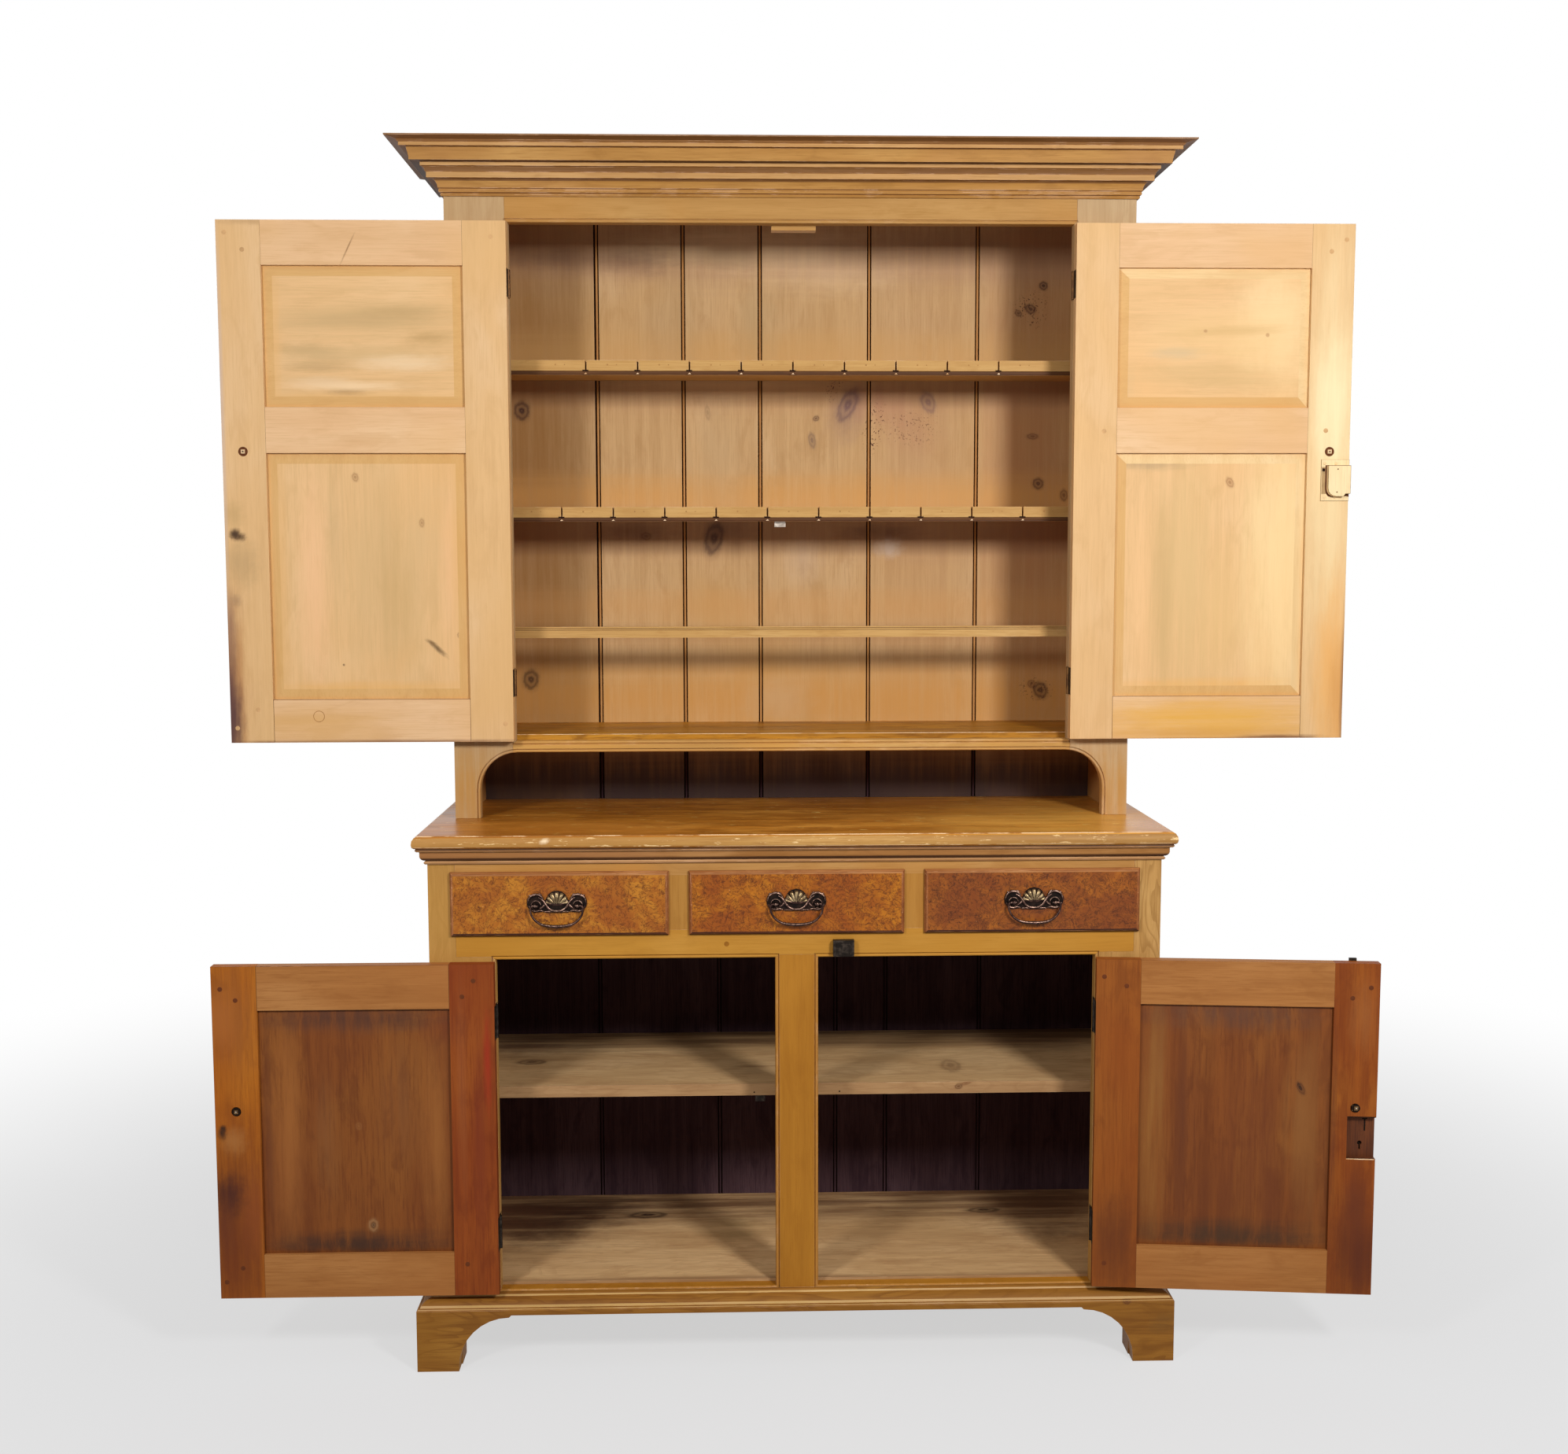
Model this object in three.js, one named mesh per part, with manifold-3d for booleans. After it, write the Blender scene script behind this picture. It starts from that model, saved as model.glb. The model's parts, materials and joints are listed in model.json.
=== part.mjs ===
// A two-part step back cupboard, standing with its four doors open and its three drawers shut.
// Millimetres. +Z is up, the front faces -Y, and +X is to the right of someone facing the front.
// The origin is on the floor, in the middle of the whole object's width and depth.
// Inside the cupboard's group, Y is zero at the front face of the lower case.
import * as THREE from "three";
import { mergeVertices } from "three/addons/utils/BufferGeometryUtils.js";
import Module from "manifold-3d";

const wasm = await Module();
wasm.setup();

// Joints and cuts
const fit = 0.3; // gap at a seat between two pieces
const overrun = 5; // how far a cutting shape passes through a face
const lap = 1; // how far two lumps of one piece run into each other
const weld = 1e-4; // vertices closer than this are one

// Boards
const side_thickness = 20;
const frame_thickness = 22;
const back_thickness = 14;
const shelf_thickness = 22;
const dado_depth = 6;
const board_groove_width = 3;
const board_groove_depth = 3;

// Lower case, from the floor up
const lower_width = 1294.2;
const lower_depth = 466;
const case_clearance = 104; // underside of the case above the floor
const base_height = 134;
const opening_rise = 3; // lower door opening above the base moulding
const lower_opening_height = 602;
const lower_opening_width = 493.2;
const centre_stile_width = 76;
const drawer_rail_height = 51;
const drawer_opening_height = 98;
const head_rail_height = 52;
const corner_stile_width = 47;
const divider_width = 51;
const middle_drawer_opening = 364.6;
const counter_thickness = 22;
const counter_overhang = 24;
const bottom_board_rise = 4.5; // bottom board's top above the lower edge of the door opening
const lower_shelf_rise = 339.5; // shelf's top above the bottom board's top
const lower_shelf_setback = 96; // shelf's front edge behind the case's face

// Bracket base
const base_projection = 31;
const foot_width = 74;
const foot_arch_radius = 90;
const foot_arch_height = 98;
const foot_arch_step = 4; // the skirt's underside steps up above the end of the arch
const back_foot_width = 70;
const corner_block = 45;

// Upper case
const overall_height = 2180;
const step_back = 193; // upper face behind the lower face
const upper_width = 1253.4;
const upper_opening_width = 1026.4;
const frieze_drop = 134.8; // top of the door opening below the top of the cornice
const pie_opening_height = 123;
const pie_opening_width = 1160;
const arch_radius = 70;
const arch_rail_height = 21;
const floor_board_lift = 10.5; // floor board's top above the lower edge of the door opening
const cornice_height = 90;
const cornice_overhang = 88.4;
const cornice_stand = 20; // cornice's top above the case's top
const top_board_thickness = 20;

// Edge beads round the openings
const bead_width = 5.5;
const quirk_width = 1.5;
const quirk_depth = 3;
const arch_bead_width = 5;

// Spoon shelves and plate rail
const spoon_shelf_setback = 80; // front edges behind the upper face
const spoon_shelf_thickness = 20;
const lip_height = 7;
const lip_depth = 12;
const upper_spoon_shelf_rise = 673.5; // shelf's underside above the floor board's top
const lower_spoon_shelf_rise = 402;
const slot_pitch = 96.5;
const slot_width = 3;
const slot_depth = 22;
const slot_notch_width = 18;
const slot_notch_depth = 9;
const slot_offset = 4; // middle of each row of slots to the right of the cupboard's middle
const upper_slot_count = 9;
const lower_slot_count = 10;
const plate_rail_rise = 176.5; // rail's underside above the floor board's top
const plate_rail_height = 21;
const plate_rail_depth = 12;
const stop_block_width = 81;
const stop_block_height = 26;
const stop_block_depth = 25;
const stop_block_drop = 8.5; // below the edge of the top rail
const stop_block_offset = 3.5;

// Doors
const door_thickness = 21;
const door_gap = 1.5; // at the hinge edge, closed
const door_clearance = 2; // above and below
const meeting_gap = 2; // between the two upper doors, closed
const meeting_offset = 3; // meeting line to the right of the cupboard's middle
const door_stile_width = 78;
const door_rail_width = 79;
const lock_rail_width = 82;
const upper_panel_height = 250;
const panel_groove_width = 6.5;
const panel_groove_depth = 8;
const panel_edge_thickness = 6;
const panel_thickness = 17;
const upper_bevel_width = 19;
const lower_bevel_width = 27;
const panel_room = 0.8; // at the bottom of the groove
const upper_left_angle = 180;
const upper_right_angle = 180;
const lower_left_angle = 180;
const lower_right_angle = 173.8;

// Butt hinges
const pin_offset = 3; // pin's axis in front of the frame's face
const barrel_radius = 3.5;
const barrel_clearance = 0.5;
const leaf_thickness = 2;
const leaf_width = 18;
const upper_hinge_length = 50;
const lower_hinge_length = 60;
const hinge_inset = 107; // hinge's middle from the door's top or bottom

// Knobs
const knob_radius = 16;
const knob_length = 27;
const knob_bolt_radius = 4;
const knob_nut_width = 11;
const knob_nut_thickness = 4.5;
const counterbore_radius = 8.5;
const counterbore_depth = 6;
const knob_inset = 37; // from the free edge
const upper_knob_height = 527; // above the door's lower edge
const lower_knob_height = 339;

// Lock on the upper right door, and the empty lock mortise in the lower right door
const lock_width = 52;
const lock_height = 75;
const lock_plate_thickness = 2;
const lock_case_width = 43;
const lock_case_height = 54;
const lock_case_depth = 10;
const lock_drop = 14.5; // lock plate's upper edge below the knob's middle
const bolt_height = 18;
const bolt_thickness = 6;
const bolt_length = 32;
const bolt_setback = 2; // channel behind the lock's back
const keyhole_radius = 4;
const keyhole_slot_width = 3;
const keyhole_slot_height = 12;
const keyhole_inset = 25; // keyhole's middle from the mortise's lower edge and inner side
const mortise_width = 50;
const mortise_height = 75;
const mortise_depth = 12;
const mortise_drop = 16; // mortise's upper edge below the knob's middle

// Catch above the lower right door
const keeper_width = 37;
const keeper_height = 29;
const keeper_depth = 13;
const keeper_wall = 3;
const keeper_distance = 82.5; // keeper's middle from the middle of the cupboard
const catch_gap = 0.8; // between the keeper and the catch plate that passes under it
const catch_plate_width = 13;
const catch_plate_height = 40;
const catch_plate_thickness = 5.5;
const catch_plate_rise = 4.5; // above the door's top edge

// Drawers
const drawer_lip = 8;
const drawer_front_proud = 10;
const drawer_ovolo = 6;
const drawer_front_inside = 12;
const drawer_side_room = 1.5;
const drawer_head_room = 6;
const drawer_floor_room = 0.5;
const drawer_back_room = 52; // between a shut drawer and the back boards
const drawer_board = 12;
const drawer_bottom_thickness = 7;
const drawer_bottom_rise = 6;
const runner_thickness = 22;
const runner_width = 45;
const runner_end_gap = 22; // rear end of the runners before the back boards
const guide_height = 25;
const guide_room = 1;
const cross_rail_width = 40;

// Drawer pulls
const pull_width = 105;
const pull_rise = 26; // top of the plate above the post line
const pull_drop = 12.5; // bottom of the plate below the post line
const pull_plate_thickness = 2.5;
const pull_height = 56; // post line above the drawer front's lower edge
const left_pull_shift = -4; // from the middle of its drawer to the right
const middle_pull_shift = -1;
const right_pull_shift = 2;
const post_spacing = 73;
const post_radius = 5;
const post_length = 11;
const rosette_radius = 10.5;
const rosette_thickness = 2;
const shell_radius = 16;
const shell_height = 6;
const bail_radius = 2.2;
const bail_clearance = 0.3;
const bail_standoff = 6.5; // bail's axis in front of the plate
const bail_half_width = 45.8;
const bail_drop = 36.5;
const bail_steps = 24;
const bail_sides = 8;

// Levels above the floor
const lower_opening_bottom = base_height + opening_rise;
const lower_opening_top = lower_opening_bottom + lower_opening_height;
const drawer_opening_bottom = lower_opening_top + drawer_rail_height;
const drawer_opening_top = drawer_opening_bottom + drawer_opening_height;
const counter_underside = drawer_opening_top + head_rail_height;
const counter_top = counter_underside + counter_thickness;
const bottom_board_top = lower_opening_bottom + bottom_board_rise;
const lower_shelf_top = bottom_board_top + lower_shelf_rise;
const arch_crown = counter_top + pie_opening_height;
const upper_opening_bottom = arch_crown + arch_rail_height;
const upper_opening_top = overall_height - frieze_drop;
const floor_board_top = upper_opening_bottom + floor_board_lift;
const upper_spoon_shelf_top = floor_board_top + upper_spoon_shelf_rise + spoon_shelf_thickness;
const lower_spoon_shelf_top = floor_board_top + lower_spoon_shelf_rise + spoon_shelf_thickness;
const upper_case_top = overall_height - cornice_stand;

// Half widths
const lower_half = lower_width / 2;
const lower_inside = lower_half - side_thickness;
const lower_opening_inner = centre_stile_width / 2;
const lower_opening_outer = lower_opening_inner + lower_opening_width;
const drawer_opening_outer = lower_half - corner_stile_width;
const middle_opening_half = middle_drawer_opening / 2;
const drawer_opening_inner = middle_opening_half + divider_width;
const rail_end = drawer_opening_outer - fit;
const upper_half = upper_width / 2;
const upper_inside = upper_half - side_thickness;
const upper_opening_half = upper_opening_width / 2;
const pie_opening_half = pie_opening_width / 2;

// Depths behind the lower case's face
const back_face = lower_depth - back_thickness;
const drawer_back = back_face - drawer_back_room;
const upper_frame_back = step_back + frame_thickness;
const spoon_shelf_front = step_back + spoon_shelf_setback;

// Where each door stands, and how far the widest one reaches forward of the lower face
const open_door_reach = 2 * pin_offset + door_thickness;
const swung = THREE.MathUtils.degToRad(lower_right_angle);
const front_reach =
  pin_offset +
  Math.max(
    open_door_reach - pin_offset,
    (door_gap / 2 + lower_opening_width - 2 * door_gap) * Math.sin(swung) -
      (pin_offset + door_thickness) * Math.cos(swung)
  );
const middle_depth = (lower_depth - front_reach) / 2;

const finishes = {
  outside_paint: { color: 0xc28a35, roughness: 0.55, metalness: 0 },
  counter_paint: { color: 0x9c6428, roughness: 0.45, metalness: 0 },
  inside_paint: { color: 0xb98d4c, roughness: 0.6, metalness: 0 },
  door_paint: { color: 0xd0a468, roughness: 0.55, metalness: 0 },
  bare_pine: { color: 0xb79c74, roughness: 0.75, metalness: 0 },
  red_wood: { color: 0xb06a35, roughness: 0.6, metalness: 0 },
  dark_wood: { color: 0x3a2a22, roughness: 0.8, metalness: 0 },
  burl_paint: { color: 0xa65f26, roughness: 0.4, metalness: 0 },
  brass: { color: 0x5b4630, roughness: 0.45, metalness: 0.9 },
  iron: { color: 0x2c2825, roughness: 0.6, metalness: 0.8 },
};

// Solids as geometries, joined and cut

function solid(geometry) {
  const bare = geometry.clone();
  bare.deleteAttribute("normal");
  bare.deleteAttribute("uv");
  const merged = mergeVertices(bare, weld);
  return new wasm.Manifold(
    new wasm.Mesh({
      numProp: 3,
      vertProperties: new Float32Array(merged.attributes.position.array),
      triVerts: new Uint32Array(merged.index.array),
    })
  );
}

function geometryOf(manifold) {
  const mesh = manifold.getMesh();
  const geometry = new THREE.BufferGeometry();
  geometry.setAttribute("position", new THREE.BufferAttribute(mesh.vertProperties, mesh.numProp));
  geometry.setIndex(new THREE.BufferAttribute(mesh.triVerts, 1));
  return geometry;
}

function join(...geometries) {
  return geometryOf(geometries.map(solid).reduce((whole, next) => whole.add(next)));
}

function cut(geometry, ...cutters) {
  return geometryOf(cutters.reduce((rest, next) => rest.subtract(solid(next)), solid(geometry)));
}

// A box between two values on each axis, in either order.
function slab(xa, xb, ya, yb, za, zb) {
  const geometry = new THREE.BoxGeometry(Math.abs(xb - xa), Math.abs(yb - ya), Math.abs(zb - za));
  return geometry.translate((xa + xb) / 2, (ya + yb) / 2, (za + zb) / 2);
}

// An outline of [x, z] points, drawn as seen from the front and given thickness between two depths.
function board(outline, ya, yb) {
  const shape = new THREE.Shape(outline.map(([x, z]) => new THREE.Vector2(x, z)));
  const geometry = new THREE.ExtrudeGeometry(shape, { depth: yb - ya, bevelEnabled: false });
  return geometry.rotateX(Math.PI / 2).translate(0, yb, 0);
}

// The same outline mirrored to the left side of the cupboard.
function onSide(side, outline) {
  return outline.map(([x, z]) => [side * x, z]);
}

function bar(radius, length, segments) {
  return new THREE.CylinderGeometry(radius, radius, length, segments);
}

// Rings of equal numbers of points, skinned into a closed solid: a loop of rings, or capped at both ends.
function skin(rings, looped) {
  const count = rings[0].length;
  const positions = rings.flat().flatMap((p) => [p.x, p.y, p.z]);
  const faces = [];
  const spans = looped ? rings.length : rings.length - 1;
  for (let r = 0; r < spans; r++) {
    const here = r * count;
    const there = ((r + 1) % rings.length) * count;
    for (let i = 0; i < count; i++) {
      const j = (i + 1) % count;
      faces.push([here + i, here + j, there + j], [here + i, there + j, there + i]);
    }
  }
  if (!looped) faces.push(...caps(rings));
  const geometry = new THREE.BufferGeometry();
  geometry.setAttribute("position", new THREE.Float32BufferAttribute(positions, 3));
  geometry.setIndex(facingOut(positions, faces).flat());
  return geometry;
}

// Triangles that close the first and the last ring, each a flat outline.
function caps(rings) {
  const count = rings[0].length;
  const first = rings[0];
  const normal = new THREE.Vector3();
  first.forEach((p, i) => normal.add(p.clone().cross(first[(i + 1) % count])));
  const across = new THREE.Vector3().subVectors(first[1], first[0]).normalize();
  const up = normal.normalize().clone().cross(across);
  const flat = first.map((p) => new THREE.Vector2(p.dot(across), p.dot(up)));
  const triangles = THREE.ShapeUtils.triangulateShape(flat, []);
  const last = (rings.length - 1) * count;
  return triangles.flatMap(([a, b, c]) => [
    [a, c, b],
    [last + a, last + b, last + c],
  ]);
}

// Turns every triangle round when together they enclose a negative volume.
function facingOut(positions, faces) {
  const at = (i) => new THREE.Vector3().fromArray(positions, 3 * i);
  const volume = faces.reduce((sum, [a, b, c]) => sum + at(a).dot(at(b).cross(at(c))), 0);
  return volume < 0 ? faces.map(([a, b, c]) => [a, c, b]) : faces;
}

// A profile of [out, up] points carried round the left end, the front and the right end of a case.
function runRound(profile, half, front, back) {
  const stations = [
    ([out, up]) => new THREE.Vector3(-half - out, back, up),
    ([out, up]) => new THREE.Vector3(-half - out, front - out, up),
    ([out, up]) => new THREE.Vector3(half + out, front - out, up),
    ([out, up]) => new THREE.Vector3(half + out, back, up),
  ];
  return skin(stations.map((place) => profile.map(place)), false);
}

// The waste beside an edge bead, as [distance from the edge, depth from the face].
function beadWaste(width) {
  const radius = width / 2;
  const steps = 5;
  const crown = [];
  for (let i = 0; i <= steps; i++) {
    const turn = (i / steps) * Math.PI;
    crown.push([radius + radius * Math.cos(turn), radius - radius * Math.sin(turn)]);
  }
  return [
    [-overrun, -overrun],
    [width + quirk_width, -overrun],
    [width + quirk_width, quirk_depth],
    [width, quirk_depth],
    ...crown,
    [-overrun, radius],
  ];
}

// Cuts a bead round a rectangular opening in the face at depth y.
function beadRound(xa, xb, za, zb, y) {
  const corners = [
    [xa, za, -1, -1],
    [xb, za, 1, -1],
    [xb, zb, 1, 1],
    [xa, zb, -1, 1],
  ];
  const ring = ([x, z, dx, dz]) =>
    beadWaste(bead_width).map(([a, d]) => new THREE.Vector3(x + a * dx, y + d, z + a * dz));
  return skin(corners.map(ring), true);
}

// The pie shelf's opening, from the counter's left to its right, as [x, z, outward x, outward z].
function archLine(bottom) {
  const steps = 9;
  const line = [[-pie_opening_half, bottom, -1, 0]];
  for (const side of [-1, 1]) {
    for (let i = 0; i <= steps; i++) {
      const turn = ((side < 0 ? i : steps - i) / steps) * (Math.PI / 2);
      const [dx, dz] = [side * Math.cos(turn), Math.sin(turn)];
      const middle = side * (pie_opening_half - arch_radius);
      line.push([middle + arch_radius * dx, arch_crown - arch_radius + arch_radius * dz, dx, dz]);
    }
  }
  line.push([pie_opening_half, bottom, 1, 0]);
  return line;
}

function archCutter() {
  const outline = archLine(counter_top - overrun).map(([x, z]) => [x, z]);
  return board(outline, step_back - overrun, upper_frame_back + overrun);
}

function archBead() {
  const waste = beadWaste(arch_bead_width);
  const rings = archLine(counter_top - overrun).map(([x, z, dx, dz]) =>
    waste.map(([a, d]) => new THREE.Vector3(x + a * dx, step_back + d, z + a * dz))
  );
  return skin(rings, false);
}

// Bare pieces of the lower case

function lowerSide(side) {
  const shape = slab(
    side * lower_inside,
    side * lower_half,
    frame_thickness + fit,
    lower_depth,
    case_clearance,
    counter_underside - fit
  );
  return cut(
    shape,
    ...[bottom_board_top, lower_shelf_top].map((top) => dado(side * lower_inside, top, shelf_thickness))
  );
}

// A groove across the inner face of a side, for the end of a shelf.
function dado(face, top, thickness) {
  const depth = face + Math.sign(face) * (dado_depth + fit);
  return slab(
    face - Math.sign(face) * overrun,
    depth,
    -overrun,
    back_face + fit,
    top - thickness - fit,
    top + fit
  );
}

// A board across the case whose ends lie in the sides' grooves.
function shelfBoard(inside, front, top, thickness) {
  const half = inside + dado_depth;
  return slab(-half, half, front, back_face - fit, top - thickness, top);
}

// Vertical boards joined in one sheet, with a groove at each joint on both faces.
const lower_joint_shares = [-0.61, -0.225, 0.152, 0.315, 0.621];
const upper_joint_shares = [-0.616, -0.338, -0.09, 0.264, 0.616];

function backBoards(half, bottom, top, joint_shares) {
  const grooves = joint_shares.flatMap((share) =>
    [back_face, lower_depth].map((face) =>
      slab(
        share * half - board_groove_width / 2,
        share * half + board_groove_width / 2,
        face - board_groove_depth,
        face + board_groove_depth,
        bottom - overrun,
        top + overrun
      )
    )
  );
  return cut(slab(-half, half, back_face, lower_depth, bottom, top), ...grooves);
}

function lowerBeads() {
  return [-1, 1].map((side) =>
    beadRound(
      Math.min(side * lower_opening_inner, side * lower_opening_outer),
      Math.max(side * lower_opening_inner, side * lower_opening_outer),
      lower_opening_bottom,
      lower_opening_top,
      0
    )
  );
}

function lowerStile(side) {
  const jamb = lower_opening_outer + bead_width;
  const shoulder = lower_opening_top + bead_width - fit;
  const outline = [
    [lower_half, case_clearance],
    [lower_half, counter_underside - fit],
    [drawer_opening_outer, counter_underside - fit],
    [drawer_opening_outer, shoulder],
    [jamb, shoulder],
    [lower_opening_outer, shoulder - bead_width],
    [lower_opening_outer, lower_opening_bottom],
    [jamb, lower_opening_bottom - bead_width],
    [jamb, case_clearance],
  ];
  const blank = board(onSide(side, outline), 0, frame_thickness);
  return cut(blank, ...lowerBeads(), ...hingeSeats(lowerDoor(side)));
}

// The centre stile, tenoned into the rail under both doors.
function centreFrame() {
  const jamb = lower_opening_outer + bead_width - fit;
  const edge = lower_opening_outer - fit;
  const head = lower_opening_top + bead_width - fit;
  const half = [
    [jamb, case_clearance],
    [jamb, lower_opening_bottom - bead_width],
    [edge, lower_opening_bottom],
    [lower_opening_inner, lower_opening_bottom],
    [lower_opening_inner, head - bead_width],
    [lower_opening_inner - bead_width, head],
  ];
  const outline = [...half, ...onSide(-1, half).reverse()];
  return cut(board(outline, 0, frame_thickness), ...lowerBeads());
}

// Rails over and under the drawers, the dividers between them, and the runners and guides behind.
function drawerFrame() {
  const head = lower_opening_top + bead_width;
  const half = [
    [lower_opening_inner - bead_width, head],
    [lower_opening_inner, lower_opening_top],
    [lower_opening_outer, lower_opening_top],
    [lower_opening_outer + bead_width, head],
    [rail_end, head],
    [rail_end, counter_underside - fit],
  ];
  const outline = [...half, ...onSide(-1, half).reverse()];
  const openings = [
    [-rail_end - overrun, -drawer_opening_inner],
    [-middle_opening_half, middle_opening_half],
    [drawer_opening_inner, rail_end + overrun],
  ].map(([xa, xb]) =>
    slab(xa, xb, -overrun, frame_thickness + overrun, drawer_opening_bottom, drawer_opening_top)
  );
  const rails = cut(board(outline, 0, frame_thickness), ...openings, ...lowerBeads());
  return join(rails, ...runners());
}

function runners() {
  const top = drawer_opening_bottom;
  const bottom = top - runner_thickness;
  const inside = lower_inside - fit;
  const front = frame_thickness;
  const rear = back_face - runner_end_gap;
  const pieces = [
    slab(-rail_end, rail_end, front - lap, front + cross_rail_width, bottom, top),
    slab(-inside, inside, rear - cross_rail_width, back_face - fit, bottom, top),
  ];
  for (const side of [-1, 1]) {
    const outer = side * inside;
    const inner = side * (drawer_opening_outer - runner_width / 2);
    pieces.push(
      slab(outer, inner, front + fit, rear, bottom, top),
      slab(outer, side * (drawer_opening_outer + guide_room), front + fit, rear, top - lap, top + guide_height)
    );
    const [near, far] = [side * middle_opening_half, side * drawer_opening_inner];
    pieces.push(
      slab(near - (side * runner_width) / 2, far + (side * runner_width) / 2, front - lap, rear, bottom, top),
      slab(near + side * guide_room, far - side * guide_room, front - lap, rear, top - lap, top + guide_height)
    );
  }
  return pieces;
}

// The counter's board, its front and end edges rounded over.
const nose_shares = [
  [0, 0],
  [0.8, 0],
  [0.95, 0.12],
  [1, 0.35],
  [0.96, 0.65],
  [0.82, 0.87],
  [0.66, 0.95],
  [0.64, 1],
  [0, 1],
];

function counterTop() {
  const nose = nose_shares.map(([out, up]) => [
    out * counter_overhang,
    counter_underside + up * counter_thickness,
  ]);
  const sheet = slab(
    -lower_half - lap,
    lower_half + lap,
    -lap,
    lower_depth,
    counter_underside,
    counter_top
  );
  return join(sheet, runRound(nose, lower_half, 0, lower_depth));
}

// Moulding under the counter: [out, up] in millimetres' shares of its projection and height.
const counter_moulding_projection = 18.6;
const counter_moulding_height = 30;
const counter_moulding_shares = [
  [0.02, 0],
  [0.18, 0.01],
  [0.31, 0.11],
  [0.18, 0.21],
  [0.14, 0.24],
  [0.3, 0.25],
  [0.44, 0.3],
  [0.57, 0.4],
  [0.62, 0.5],
  [0.62, 0.75],
  [0.68, 0.78],
  [0.86, 0.8],
  [1, 0.89],
  [0.92, 0.99],
  [0.02, 0.99],
];

function counterMoulding() {
  const bottom = counter_underside - counter_moulding_height;
  const profile = counter_moulding_shares.map(([out, up]) => [
    out * counter_moulding_projection,
    bottom + up * counter_moulding_height,
  ]);
  return runRound(profile, lower_half, 0, lower_depth);
}

// Front and end boards of the base, mitred at the front corners, with a moulded top edge.
const base_moulding_height = 23;
const base_moulding_shares = [
  [1, 0],
  [0.95, 0.06],
  [0.95, 0.13],
  [0.82, 0.15],
  [0.76, 0.32],
  [0.62, 0.52],
  [0.44, 0.66],
  [0.27, 0.76],
  [0.24, 0.88],
  [0.16, 0.97],
  [0.05, 1],
];

function bracketBase() {
  const moulding_bottom = base_height - base_moulding_height;
  const profile = [
    [fit, 0],
    [base_projection, 0],
    ...base_moulding_shares.map(([out, up]) => [
      out * base_projection,
      moulding_bottom + up * base_moulding_height,
    ]),
    [fit, base_height],
  ];
  const outer = lower_half + base_projection;
  const skirt = cut(
    runRound(profile, lower_half, 0, lower_depth),
    footArch(-outer + foot_width, outer - foot_width, (outline) =>
      board(outline, -base_projection - overrun, overrun)
    ),
    footArch(foot_width - base_projection, lower_depth - back_foot_width, (outline) =>
      board(outline, -outer - overrun, outer + overrun).rotateZ(Math.PI / 2)
    )
  );
  return join(skirt, ...cornerBlocks());
}

// Cuts the space between two feet: a quarter round at each, then a small step up to the skirt.
function footArch(from, to, extrude) {
  const steps = 8;
  const spring = foot_arch_height - foot_arch_radius;
  const half = [];
  for (let i = 0; i <= steps; i++) {
    const turn = (i / steps) * (Math.PI / 2);
    half.push([
      foot_arch_radius - foot_arch_radius * Math.cos(turn),
      spring + foot_arch_radius * Math.sin(turn),
    ]);
  }
  half.push([foot_arch_radius + foot_arch_step, foot_arch_height + foot_arch_step]);
  const left = [[0, -overrun], ...half].map(([along, up]) => [from + along, up]);
  const right = [[0, -overrun], ...half].map(([along, up]) => [to - along, up]);
  return extrude([...left, ...right.reverse()]);
}

function cornerBlocks() {
  const blocks = [];
  for (const side of [-1, 1]) {
    const outer = side * (lower_half + fit + lap);
    const inner = side * (lower_half - corner_block);
    const top = case_clearance - fit;
    blocks.push(slab(outer, inner, -fit - lap, corner_block, 0, top));
    blocks.push(slab(outer, inner, lower_depth - corner_block, lower_depth, 0, top));
  }
  return blocks;
}

// Bare pieces of the upper case

function upperSide(side) {
  const shape = slab(
    side * upper_inside,
    side * upper_half,
    upper_frame_back + fit,
    lower_depth,
    counter_top + fit,
    upper_case_top
  );
  const shelves = [
    [floor_board_top, shelf_thickness],
    [upper_spoon_shelf_top, spoon_shelf_thickness],
    [lower_spoon_shelf_top, spoon_shelf_thickness],
    [upper_case_top, top_board_thickness],
  ];
  return cut(shape, ...shelves.map(([top, thickness]) => dado(side * upper_inside, top, thickness)));
}

function upperBead() {
  return beadRound(
    -upper_opening_half,
    upper_opening_half,
    upper_opening_bottom,
    upper_opening_top,
    step_back
  );
}

function upperStile(side) {
  const jamb = upper_opening_half + bead_width;
  const outline = [
    [upper_half, counter_top + fit],
    [upper_half, upper_case_top],
    [jamb, upper_case_top],
    [jamb, upper_opening_top + bead_width],
    [upper_opening_half, upper_opening_top],
    [upper_opening_half, upper_opening_bottom],
    [jamb, upper_opening_bottom - bead_width],
    [jamb, counter_top + fit],
  ];
  const blank = board(onSide(side, outline), step_back, upper_frame_back);
  return cut(blank, upperBead(), archCutter(), archBead(), ...hingeSeats(upperDoor(side)));
}

// A rail between the upper stiles, its bead mitred to theirs.
function railOutline(edge, away, far) {
  const half = [
    [upper_opening_half - fit, edge],
    [upper_opening_half - fit + bead_width, edge + away * bead_width],
    [upper_opening_half - fit + bead_width, far],
  ];
  return [...half, ...onSide(-1, half).reverse()];
}

function upperTopRail() {
  const outline = railOutline(upper_opening_top, 1, upper_case_top);
  const rail = cut(board(outline, step_back, upper_frame_back), upperBead());
  const block_top = upper_opening_top - stop_block_drop + stop_block_height;
  const [left, right] = [-1, 1].map((side) => stop_block_offset + (side * stop_block_width) / 2);
  const rear = upper_frame_back + stop_block_depth;
  return join(
    rail,
    slab(left, right, upper_frame_back - lap, rear, upper_opening_top + bead_width, block_top),
    slab(
      left,
      right,
      upper_frame_back + fit,
      rear,
      upper_opening_top - stop_block_drop,
      upper_opening_top + bead_width + lap
    )
  );
}

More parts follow.
